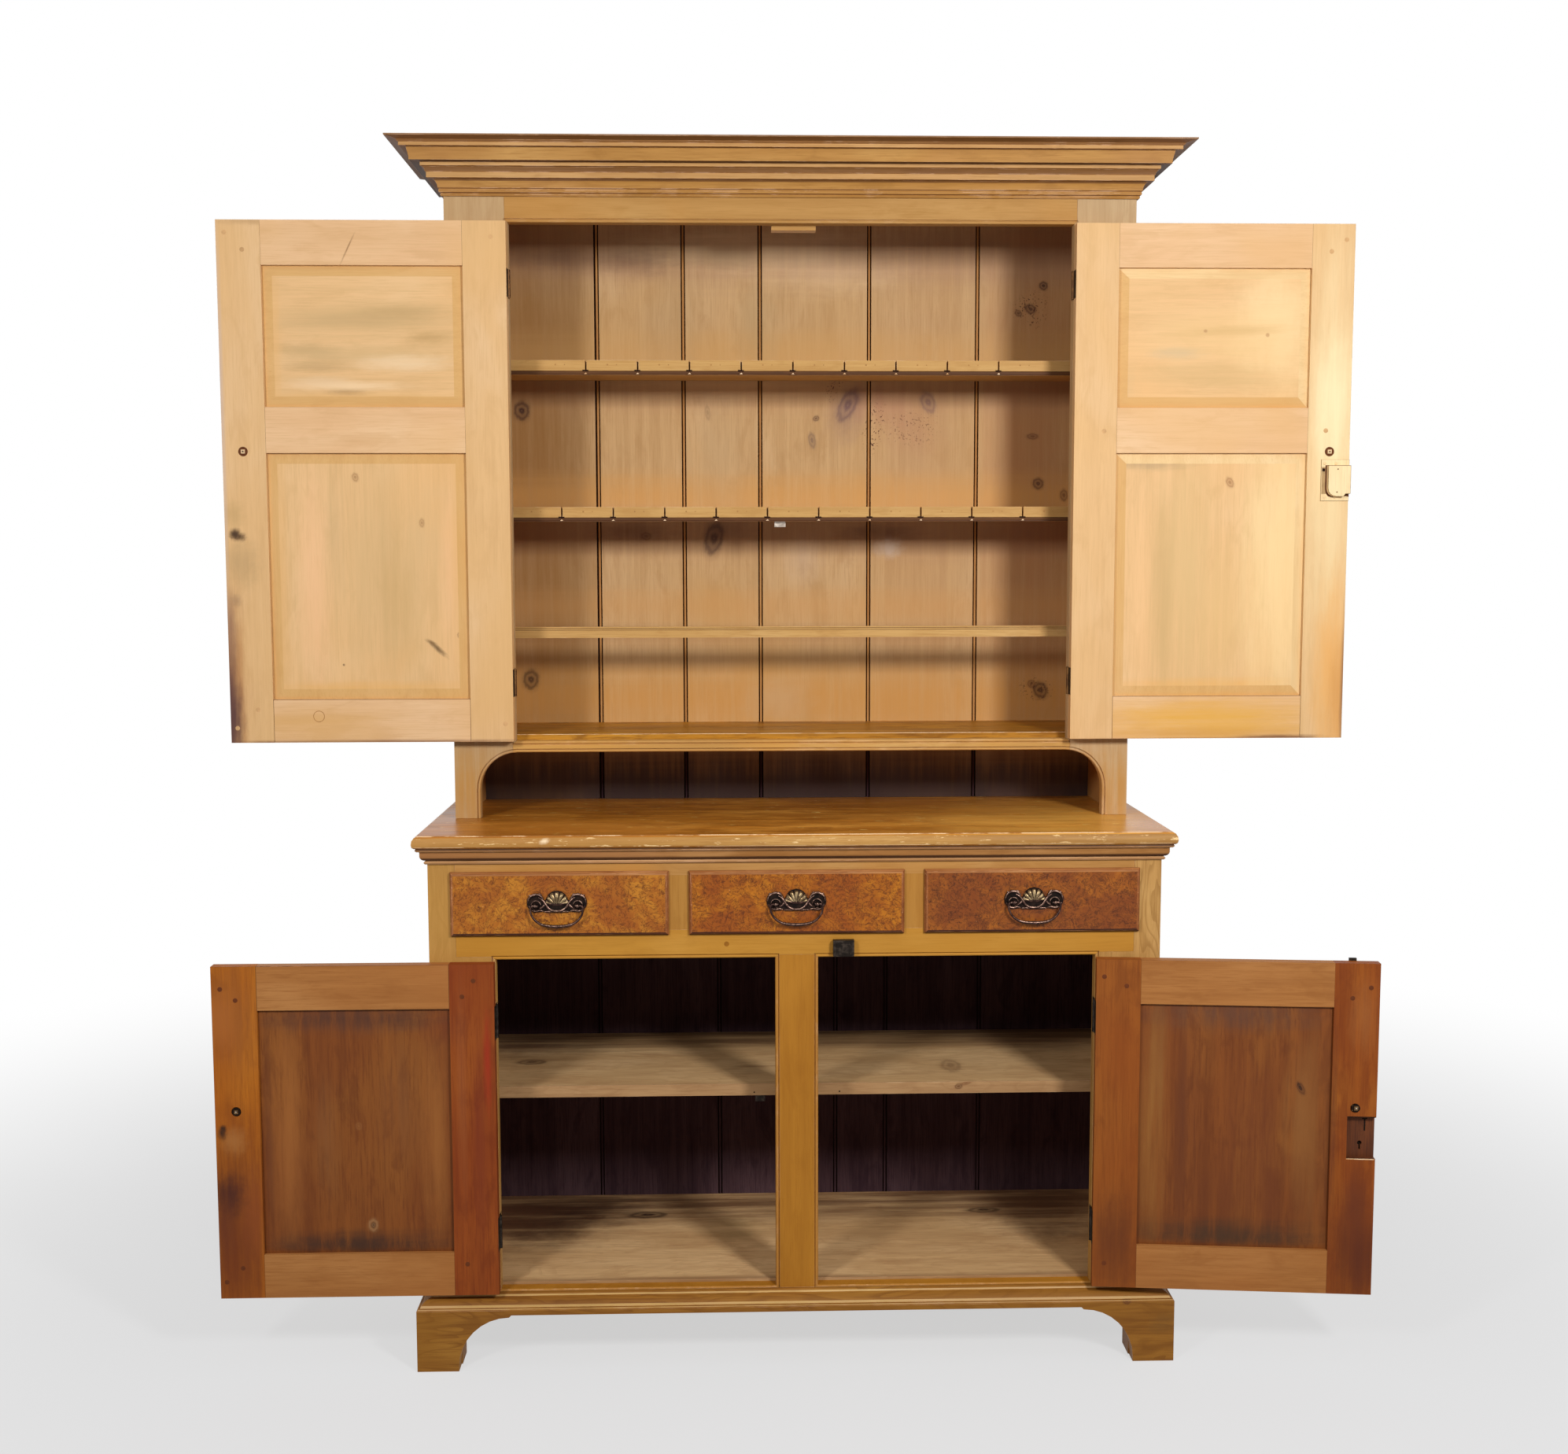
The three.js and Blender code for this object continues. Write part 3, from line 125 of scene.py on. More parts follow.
class Tree:
    """The nodes of a material or of the world."""

    def __init__(self, owner):
        owner.use_nodes = True
        self.owner = owner
        self.nodes = owner.node_tree.nodes

    def add(self, kind, values=None, **settings):
        node = self.nodes.new("ShaderNode" + kind)
        for key, value in settings.items():
            setattr(node, key, value)
        for key, value in (values or {}).items():
            self.put(node.inputs[key], value)
        return node

    def put(self, socket, value):
        if isinstance(value, bpy.types.NodeSocket):
            self.owner.node_tree.links.new(value, socket)
        else:
            socket.default_value = value

    def math(self, operation, first, second=0.0, third=0.0):
        return self.add("Math", {0: first, 1: second, 2: third}, operation=operation).outputs[0]

    def band(self, value, low, high, to_low=0.0, to_high=1.0):
        """value carried from low..high to to_low..to_high, smoothly, and held at the ends."""
        values = {"Value": value, "From Min": low, "From Max": high, "To Min": to_low, "To Max": to_high}
        return self.add("MapRange", values, interpolation_type="SMOOTHSTEP").outputs["Result"]


class Finish(Tree):
    """A new material, with a short call for each thing that the finishes are made of."""

    def __init__(self, roughness, metallic=0.0, specular=0.35):
        super().__init__(bpy.data.materials.new("finish"))
        self.shader = self.nodes["Principled BSDF"].inputs
        values = {"Roughness": roughness, "Metallic": metallic, "Specular IOR Level": specular}
        for name, value in values.items():
            self.put(self.shader[name], value)
        self.place = self.add("TexCoord").outputs["Object"]

    def scaled(self, vector, by):
        return self.add("VectorMath", {0: vector, 1: by}, operation="MULTIPLY").outputs[0]

    def noise(self, scale, detail, roughness, distortion=0.0, vector=None):
        values = {
            "Vector": vector or self.place, "Scale": scale, "Detail": detail, "Roughness": roughness,
            "Distortion": distortion,
        }
        return self.add("TexNoise", values).outputs["Fac"]

    def drawn(self, grain, along, across, *rest):
        """Noise drawn out along the grain, which changes so fast along and across it."""
        return self.noise(1.0, *rest, vector=self.scaled(grain, (along, across, across)))

    def grain(self):
        return self.add("Attribute", attribute_name="grain").outputs["Vector"]

    def mix(self, share, first, second):
        return self.add("Mix", {0: share, 6: first, 7: second}, data_type="RGBA").outputs[2]

    def distance(self, middle, reach, turn, wobble):
        """How far a point is from a middle, in the reach of an ellipse turned in the XZ plane, unevenly."""
        shifted = self.add("VectorMath", {0: self.place, 1: tuple(place(*middle))}, operation="SUBTRACT")
        values = {"Vector": shifted.outputs[0], "Angle": turn}
        turned_place = self.add("VectorRotate", values, rotation_type="Y_AXIS").outputs[0]
        flat = self.scaled(turned_place, [1 / (size * MM) for size in reach])
        length = self.add("VectorMath", {0: flat}, operation="LENGTH").outputs["Value"]
        ripple = self.noise(1.9, 5.0, 0.68, vector=flat)
        return self.math("ADD", length, self.math("MULTIPLY", self.math("SUBTRACT", ripple, 0.5), wobble))

    def finish(self, colour, height=None, depth=0.0, roughness=None):
        self.put(self.shader["Base Color"], colour)
        if roughness is not None:
            self.put(self.shader["Roughness"], roughness)
        if height is not None:
            bump = self.add("Bump", {"Strength": 1.0, "Distance": depth * MM, "Height": height})
            self.put(self.shader["Normal"], bump.outputs["Normal"])
        return self.owner


def reading(mark):
    """A mark's middle, reach, turn, colour and strength.

    On a standing board it is x, z, width, height, turn, colour and strength, and on one that lies flat it is
    x, y, z, width, depth, height, colour and strength.
    """
    *numbers, code, strength = mark
    if len(numbers) == 6:
        return numbers[:3], numbers[3:], 0.0, tone(code), strength
    x, z, width, height, turn = numbers
    return (x, 0, z), (width, math.inf, height), turn, tone(code), strength


def marked(tree, colour, marks, wobble, rim, heart, share):
    """Tints the inside of each mark, from its uneven rim to its heart, as much as share(reach) lets it."""
    for mark in marks:
        middle, size, turn, tint, strength = reading(mark)
        reach = tree.distance(middle, size, turn, wobble)
        near = tree.band(reach, rim, heart, 0.0, strength)
        colour = tree.mix(tree.math("MULTIPLY", near, share(reach)), colour, tint)
    return colour


def paint(codes, streak=0.5, knots=(), stains_and_light=(), specks=(), wear=None, roughness=0.56, across=70.0,
          figure=0.0, specular=0.2, least=0.35):
    """Old thin paint or varnish over pine: fibres along the grain, clouds, patches, marks and worn spots.

    codes are the ground, the dark, the light and, on some, the patches. wear is the colour and the share of
    the worn spots. stains_and_light holds stains and, on some boards, painted light and shade; least is how
    much of such a mark is left between the fibres.
    """
    base, dark, light, *patched = tones(codes)
    tree = Finish(roughness, specular=specular)
    grain = tree.grain()
    fibres = tree.drawn(grain, 2.2, across, 5.0, 0.62, 0.2)
    threads = tree.drawn(grain, 16.0, across * 6, 4.0, 0.65)
    mottle = tree.drawn(grain, 11.0, 30.0, 4.0, 0.6, 0.5)
    clouds = tree.drawn(grain, 2.6, 7.0, 3.0, 0.55, 0.6)
    colour = tree.mix(tree.band(fibres, 0.3, 0.7, 0.0, streak), base, dark)
    colour = tree.mix(tree.band(clouds, 0.42, 0.75, 0.0, 0.75), colour, light)
    colour = tree.mix(tree.band(mottle, 0.5, 0.68, 0.0, streak * 0.8), colour, dark)
    colour = tree.mix(tree.band(threads, 0.46, 0.7, 0.0, streak), colour, dark)
    if figure:
        rings = tree.math("FRACT", tree.math("MULTIPLY", tree.drawn(grain, 3.2, 16.0, 2.0, 0.5, 1.2), 9.0))
        colour = tree.mix(tree.band(rings, 0.55, 0.95, 0.0, figure), colour, dark)
    for patch in patched:
        patches = tree.noise(3.1, 2.0, 0.5, 0.4)
        colour = tree.mix(tree.band(patches, 0.46, 0.7, 0.0, 0.6), colour, patch)

    def ringed(reach):
        return tree.math("MULTIPLY_ADD", tree.math("SINE", tree.math("MULTIPLY", reach, 14.0)), 0.25, 0.75)
    streaks = tree.band(fibres, 0.32, 0.62, least, 1.0)
    colour = marked(tree, colour, stains_and_light, 1.1, 1.4, 0.1, lambda reach: streaks)
    colour = marked(tree, colour, knots, 0.5, 1.0, 0.35, ringed)
    if specks:
        dots = tree.band(tree.noise(260.0, 2.0, 0.5), 0.6, 0.66)
        colour = marked(tree, colour, specks, 0.9, 1.1, 0.5, lambda reach: dots)
    if wear:
        worn, amount = wear
        flecks = tree.drawn(grain, 26.0, 150.0, 4.0, 0.7)
        colour = tree.mix(tree.band(flecks, 1.0 - amount, 1.06 - amount, 0.0, 0.85), colour, tone(worn))
    rough = tree.band(clouds, 0.3, 0.75, roughness - 0.06, roughness + 0.12)
    return tree.finish(colour, fibres, 0.12, rough)


def worn_edge(codes, amount):
    """The rounded edge of a painted board: the paint, rubbed through in patches."""
    tree = Finish(0.5, specular=0.2)
    grain = tree.grain()
    rubbed = tree.drawn(grain, 22.0, 60.0, 4.0, 0.65)
    soft = tree.drawn(grain, 3.0, 9.0, 2.0, 0.5)
    share = tree.math("ADD", tree.math("MULTIPLY", rubbed, 0.65), tree.math("MULTIPLY", soft, 0.35))
    return tree.finish(tree.mix(tree.band(share, 0.62 - amount, 0.72 - amount), *tones(codes)))


def burl(codes):
    """Painted burr: curling dark veins, red-brown clouds and specks over an orange ground, rubbed pale."""
    base, dark, light, red, pale = tones(codes + " dea870")
    tree = Finish(0.42, specular=0.25)
    veins = tree.noise(34.0, 6.0, 0.7, 2.2)
    lines = tree.math("ABSOLUTE", tree.math("SUBTRACT", veins, 0.5))
    colour = tree.mix(tree.band(tree.noise(30.0, 4.0, 0.65, 1.2), 0.4, 0.62), base, light)
    for value, low, high, share, tint in (
        (tree.noise(9.0, 3.0, 0.55, 0.5), 0.44, 0.62, 0.7, red),
        (lines, 0.035, 0.0, 0.8, dark),
        (tree.noise(84.0, 5.0, 0.7, 1.6), 0.53, 0.66, 0.8, dark),
        (tree.noise(190.0, 3.0, 0.6), 0.6, 0.7, 0.7, dark),
        (tree.noise(120.0, 4.0, 0.7), 0.7, 0.76, 0.6, pale),
    ):
        colour = tree.mix(tree.band(value, low, high, 0.0, share), colour, tint)
    return tree.finish(colour, veins, 0.05)


def metal(codes, roughness, scale=120.0):
    """Old metal: two tones mixed by a cloud, and uneven in its shine."""
    tree = Finish(roughness, metallic=0.85)
    cloud = tree.noise(scale, 4.0, 0.6)
    rough = tree.band(cloud, 0.3, 0.7, roughness - 0.1, roughness + 0.15)
    return tree.finish(tree.mix(tree.band(cloud, 0.4, 0.7), *tones(codes)), cloud, 0.05, rough)


def plain(code, roughness):
    """A small spot of one colour with a little dirt."""
    tree = Finish(roughness, specular=0.1)
    dirt = tree.band(tree.noise(60.0, 3.0, 0.6), 0.35, 0.75, 0.0, 0.25)
    return tree.finish(tree.mix(dirt, tone(code), tone("281810")))


# Marks, as reading() takes them: places, sizes, turn, colour and strength

BACK_KNOTS = [
    (-523, 1731, 24, 28, -0.1, "462a22", 0.95), (118, 1742, 26, 54, -0.5, "684a4a", 0.85),
    (278, 1748, 22, 34, 0.35, "70504e", 0.7), (-147, 1481, 28, 50, -0.3, "462c28", 0.85),
    (-281, 1486, 16, 12, 0, "603e2a", 0.6), (-513, 1202, 24, 30, -0.2, "462a1a", 0.9),
    (508, 1177, 22, 26, 0.3, "4a2c1e", 0.9), (489, 1190, 12, 12, -0.3, "603826", 0.7),
    (498, 1589, 17, 17, -0.2, "4a2822", 0.85), (486, 1682, 18, 9, 0, "603a2a", 0.7),
    (550, 1566, 12, 18, 0, "543228", 0.7), (504, 1975, 13, 13, 0, "3c221e", 0.9),
    (479, 1930, 17, 14, -0.4, "482a22", 0.85), (455, 1922, 12, 9, -0.6, "523024", 0.75),
    (48, 1674, 11, 24, 0.15, "6e5648", 0.7), (56, 1717, 10, 8, 0.5, "543222", 0.8),
    (-158, 1728, 8, 22, 0.1, "8c704e", 0.55),
]
# Stains, and painted light and shade: the dark bands low in the pie shelf's recess, under the top rail, the
# shelves and the plate rail, and the darker strips at both ends are painted shade; the pale patches under the
# top rail and the upper shelf and the golden bands at the foot of each bay are painted light
BACK_STAINS_AND_PAINTED_LIGHT = [
    (0, 970, 3000, 44, 0, "261c1c", 1), (0, 966, 3000, 40, 0, "241a1a", 1),
    (-500, 1560, 120, 760, 0, "a77842", 0.9), (480, 1560, 104, 760, 0, "b78254", 0.85),
    (270, 1560, 110, 760, 0, "b88c60", 0.4), (-110, 2044, 240, 34, 0, "ffe0a8", 1),
    (-110, 1782, 240, 24, 0, "face92", 0.9), (0, 1005, 3000, 80, 0, "503a34", 0.95),
    (0, 1838, 3000, 52, 0, "ca9c5e", 0.65), (70, 2020, 170, 60, 0, "ffdcac", 0.5),
    (0, 1562, 3000, 50, 0, "d09a56", 0.75), (0, 1345, 3000, 40, 0, "ce985a", 0.5),
    (0, 1160, 3000, 80, 0, "cc924a", 0.8), (0, 2030, 3000, 60, 0, "a47e64", 0.6),
    (0, 1770, 3000, 46, 0, "a87e5e", 0.5), (0, 1490, 3000, 50, 0, "a67e62", 0.55),
    (0, 1286, 3000, 26, 0, "a07042", 0.5), (124, 1728, 44, 70, -0.5, "967464", 0.5),
    (190, 1740, 70, 44, -0.2, "b27e60", 0.55), (250, 1690, 60, 50, 0, "b4825e", 0.45),
    (-304, 1494, 80, 22, 0, "704a34", 0.55), (185, 1493, 84, 20, 0, "684434", 0.55),
    (-120, 1500, 50, 24, 0, "785442", 0.5), (30, 1440, 40, 50, 0, "c8ac8e", 0.45),
    (199, 1463, 30, 20, 0, "d8c2ac", 0.7), (-60, 1900, 50, 90, 0, "b29468", 0.45),
    (-230, 1900, 60, 120, 0, "b08e62", 0.4), (-140, 1640, 60, 120, 0, "bea076", 0.35),
    (-420, 2020, 120, 26, 0, "745442", 0.5), (-290, 2018, 70, 30, 0, "705040", 0.5),
    (-20, 1160, 70, 50, 0, "ceb08a", 0.35),
]
BACK_SPECKS = [
    (171, 1700, 22, 60, -0.2, "542c1a", 1), (246, 1698, 60, 40, 0, "70462e", 0.7),
    (95, 1782, 16, 40, -0.5, "603c30", 0.9), (482, 1930, 40, 40, 0, "462822", 0.8),
    (500, 1180, 40, 30, 0, "502e20", 0.7),
]
# Stains and marks on the upper doors, and painted highlights on the right one
UPPER_DOOR_STAINS_AND_HIGHLIGHTS = [
    (-770, 1870, 170, 34, 0.03, "ceaa76", 0.75), (-770, 1868, 150, 15, 0.03, "ba9868", 0.45),
    (-700, 1884, 80, 14, 0, "b89664", 0.5), (-860, 1812, 60, 16, -0.08, "b49464", 0.6),
    (-760, 1806, 170, 22, 0.02, "ceac7a", 0.6), (-855, 1786, 64, 11, 0, "b08e5e", 0.6),
    (-650, 1836, 50, 14, 0.1, "b6925c", 0.6), (-800, 1740, 40, 7, 0, "96764c", 0.6),
    (-700, 1792, 90, 16, 0, "f0d2aa", 0.6), (-799, 1752, 110, 9, 0, "f4d4aa", 0.6),
    (-850, 1760, 60, 10, 0, "e2c096", 0.6), (-740, 1400, 90, 210, 0, "d4b07c", 0.6),
    (-745, 1400, 44, 190, 0, "c09a64", 0.3), (-715, 1360, 34, 130, 0.03, "c0985c", 0.3),
    (-660, 1470, 40, 110, 0, "d2ae7c", 0.4), (-830, 1480, 20, 120, 0, "c8a676", 0.4),
    (-870, 1400, 30, 200, 0, "f4c090", 0.6), (-620, 1420, 24, 160, 0, "f0bc8a", 0.5),
    (-648, 1278, 21, 5, -0.73, "684e30", 0.95), (-660, 1290, 12, 4, -0.5, "785836", 0.8),
    (-600, 1303, 10, 5, -0.8, "82603c", 0.7), (-795, 1992, 1.6, 30, -0.45, "966e46", 0.9),
    (-1000, 1434, 38, 44, 0, "be9a6a", 0.8), (-1012, 1522, 22, 26, 0, "c49e68", 0.8),
    (-1009, 1487, 11, 11, 0, "482e14", 1), (-1009, 1486, 9, 9, 0, "422a12", 1),
    (-998, 1482, 9, 8, 0, "4c3216", 1), (-930, 1410, 16, 260, 0, "deac6c", 0.6),
    (-770, 1206, 190, 15, 0, "e0aa62", 0.7), (-608, 1410, 14, 260, 0, "deac6c", 0.5),
    (-770, 1731, 190, 11, 0, "e0ae6c", 0.6), (-930, 1840, 14, 140, 0, "e0ae6e", 0.6),
    # The near-white marks ffecb8, fff6c8, ffe4a8 and ffe2aa on the right door's outer stile and panels are
    # painted highlights
    (765, 1207, 180, 15, 0, "e4ac62", 0.75), (985, 1620, 56, 430, 0, "ffecb8", 0.5),
    (992, 1720, 40, 130, 0, "fff6c8", 0.45), (900, 1420, 80, 280, 0, "ffe4a8", 0.5),
    (880, 1860, 80, 120, 0, "ffe2aa", 0.5), (-1012, 1367, 12, 12, 0, "aa8c68", 0.8),
    (-1022, 1210, 30, 180, 0.02, "b07846", 0.95), (-1028, 1200, 20, 150, 0.02, "603e3a", 1),
    (-1026, 1150, 24, 70, 0, "543634", 1), (-1025, 1320, 14, 70, 0, "966e54", 0.9),
    (-770, 1108, 320, 5, 0, "6e4432", 1), (-960, 2040, 70, 7, 0, "be9668", 0.7),
    (-1026, 1700, 6, 320, 0, "c8b0a0", 0.8), (-880, 1140, 160, 36, 0, "d6a460", 0.6),
    (700, 1812, 50, 12, 0, "c0a884", 0.7), (790, 1840, 150, 60, 0, "e4bc80", 0.6),
    (770, 1770, 150, 26, -0.05, "cea870", 0.65), (800, 1852, 110, 10, 0.04, "cca468", 0.6),
    (600, 1750, 30, 60, 0, "d0aa76", 0.5), (600, 1668, 60, 30, 0, "d6b076", 0.6),
    (650, 1612, 90, 12, 0, "b09268", 0.7), (720, 1400, 60, 220, 0, "d6b27a", 0.75),
    (680, 1380, 26, 190, 0, "c6a26c", 0.6), (790, 1330, 40, 150, 0, "deb67a", 0.6),
    (640, 1350, 26, 200, 0, "f0c08a", 0.45), (905, 1450, 26, 200, 0, "f6ca90", 0.4),
    (770, 1140, 230, 46, 0, "dea648", 0.95), (770, 1116, 200, 14, 0, "cc9448", 0.6),
    (1006, 1230, 44, 190, 0, "e6a85c", 0.85), (1014, 1190, 22, 110, 0, "ce9250", 0.65),
    (1023, 1210, 7, 170, 0, "704a3c", 0.95), (905, 1108, 90, 7, 0, "684032", 1),
    (775, 1106, 280, 4, 0, "8c5c3e", 0.9),
]
UPPER_DOOR_KNOTS = [
    (-791, 1589, 9, 12, 0.2, "a0764a", 0.8), (-673, 1507, 7, 12, 0, "a0764a", 0.75),
    (-609, 1303, 6, 8, 0.3, "966c46", 0.7), (-820, 1250, 3, 3, 0, "503422", 0.9),
    (802, 1579, 10, 15, 0.45, "a07046", 0.85),
    (751, 1852, 5, 4, 0, "aa784a", 0.8), (865, 1845, 5, 5, 0, "aa784a", 0.8),
]
LOWER_DOOR_STAINS = [
    (565, 220, 44, 100, 0, "5c2e14", 0.75), (-988, 225, 50, 140, 0, "743614", 0.75),
    (790, 300, 160, 100, 0, "623218", 0.5), (-640, 430, 26, 190, 0, "a0642e", 0.7),
    (760, 246, 170, 26, 0, "482e1c", 0.9), (770, 640, 170, 30, 0, "5c3c2c", 0.75),
    (632, 430, 26, 210, 0, "96622c", 0.8), (690, 430, 24, 190, 0, "60321a", 0.7),
    (800, 400, 60, 150, 0, "703a1c", 0.7), (905, 430, 34, 190, 0, "8a5628", 0.7),
    (-780, 238, 160, 24, 0, "42281a", 0.9), (-780, 640, 160, 26, 0, "56382a", 0.7),
    (-900, 430, 34, 200, 0, "a0622e", 0.75), (-985, 300, 60, 190, 0, "6e3614", 0.75),
    (-985, 640, 60, 110, 0, "965826", 0.6), (-1005, 200, 30, 80, 0, "682e12", 0.7),
    (-960, 300, 24, 90, 0, "8e4822", 0.5), (-1006, 640, 30, 60, 0, "ac642c", 0.5),
    (-1003, 325, 32, 44, -0.2, "421e16", 0.95), (-1010, 270, 20, 60, 0, "602e1a", 0.7),
    (-990, 425, 24, 26, 0, "b0763e", 0.6), (-1010, 439, 8, 13, 0, "22140e", 1),
    (-1008, 448, 6, 7, 0, "22140e", 1), (-545, 560, 8, 90, 0, "a02c16", 0.7),
    (-560, 420, 14, 190, 0, "702a16", 0.6), (-590, 500, 10, 220, 0, "965228", 0.5),
    (-620, 620, 50, 30, 0, "70341a", 0.4), (-770, 230, 150, 14, 0, "42281a", 0.8),
    (-770, 640, 150, 16, 0, "502e1e", 0.7), (-930, 440, 10, 220, 0, "5c2e1a", 0.5),
    (-830, 420, 24, 120, 0, "885830", 0.5), (-700, 480, 40, 120, 0, "86542c", 0.45),
    (640, 560, 16, 120, 0, "8a5c2e", 0.4), (880, 470, 26, 120, 0, "926030", 0.45),
    (780, 234, 150, 16, 0, "462e1c", 0.8), (940, 440, 10, 200, 0, "542e1a", 0.5),
    (990, 210, 60, 120, 0, "542612", 0.8), (984, 300, 26, 80, 0, "643018", 0.6),
    (1000, 200, 20, 60, 0, "582814", 0.6), (990, 640, 26, 70, 0, "a06230", 0.5),
]
LOWER_DOOR_KNOTS = [
    (-751, 269, 13, 17, -0.1, "a0764c", 0.8), (-751, 269, 6, 8, -0.1, "3c261a", 0.8),
    (-772, 449, 9, 10, 0, "925e32", 0.5), (886, 511, 9, 19, 0.45, "4e2a16", 0.9),
    (884, 514, 4, 11, 0.45, "22120a", 0.95),
]
# Dark patches: darker towards the back of the lower shelf and of the bottom board, at the bottom board's back
# corners, and along its front edge
SHELF_DARK_PATCHES = [
    (0, 420, 142, 2400, 120, 40, "5c3a26", 0.85), (-500, 330, 142, 170, 170, 60, "3e261a", 1),
    (-420, 400, 142, 200, 110, 60, "3e261a", 1), (520, 330, 142, 130, 150, 60, "543624", 0.9),
    (0, 440, 481, 2400, 120, 40, "543624", 0.85), (-560, 330, 142, 130, 130, 40, "603e2a", 0.75),
    (-520, 380, 481, 110, 130, 40, "5a3a28", 0.75), (500, 380, 481, 120, 90, 40, "64402a", 0.7),
    (480, 360, 142, 160, 80, 40, "68462e", 0.65), (-113, 263, 142, 60, 60, 40, "8c7648", 0.5),
    (-80, 200, 481, 40, 40, 30, "704c32", 0.5), (0, 24, 142, 2400, 14, 40, "785232", 0.6),
]
SHELF_KNOTS = [
    (-285, 338, 142, 60, 26, 60, "342014", 1), (-390, 330, 142, 34, 18, 60, "543622", 0.8),
    (386, 342, 142, 52, 20, 60, "3a2416", 1), (-500, 250, 481, 44, 24, 60, "50321e", 0.9),
    (300, 200, 481, 30, 60, 60, "785436", 0.6),
]


def within(found, low, high, bottom=0.0, top=math.inf):
    """The marks whose middles lie between two values of x, on either side, and between two heights."""
    return [mark for mark in found if low < abs(mark[0]) < high and bottom < mark[1] < top]


def sided(found, side):
    return [mark for mark in found if mark[0] * side > 0]


UPPER_PANEL_MARKS = within(UPPER_DOOR_STAINS_AND_HIGHLIGHTS, 595, 945, 1180, 1965)
UPPER_FRAME_MARKS = [mark for mark in UPPER_DOOR_STAINS_AND_HIGHLIGHTS if mark not in UPPER_PANEL_MARKS]
UPPER_STILE_MARKS = [
    *within(UPPER_FRAME_MARKS, 0, 1100, 0, 1112), *within(UPPER_FRAME_MARKS, 945, 1100, 1112),
    *within(UPPER_FRAME_MARKS, 0, 595, 1112),
]
UPPER_RAIL_MARKS = within(UPPER_FRAME_MARKS, 595, 945)
LOWER_OUTER_MARKS = within(LOWER_DOOR_STAINS, 935, 1100)
LOWER_INNER_MARKS = within(LOWER_DOOR_STAINS, 0, 625)
LOWER_PANEL_MARKS = within(LOWER_DOOR_STAINS, 600, 950)

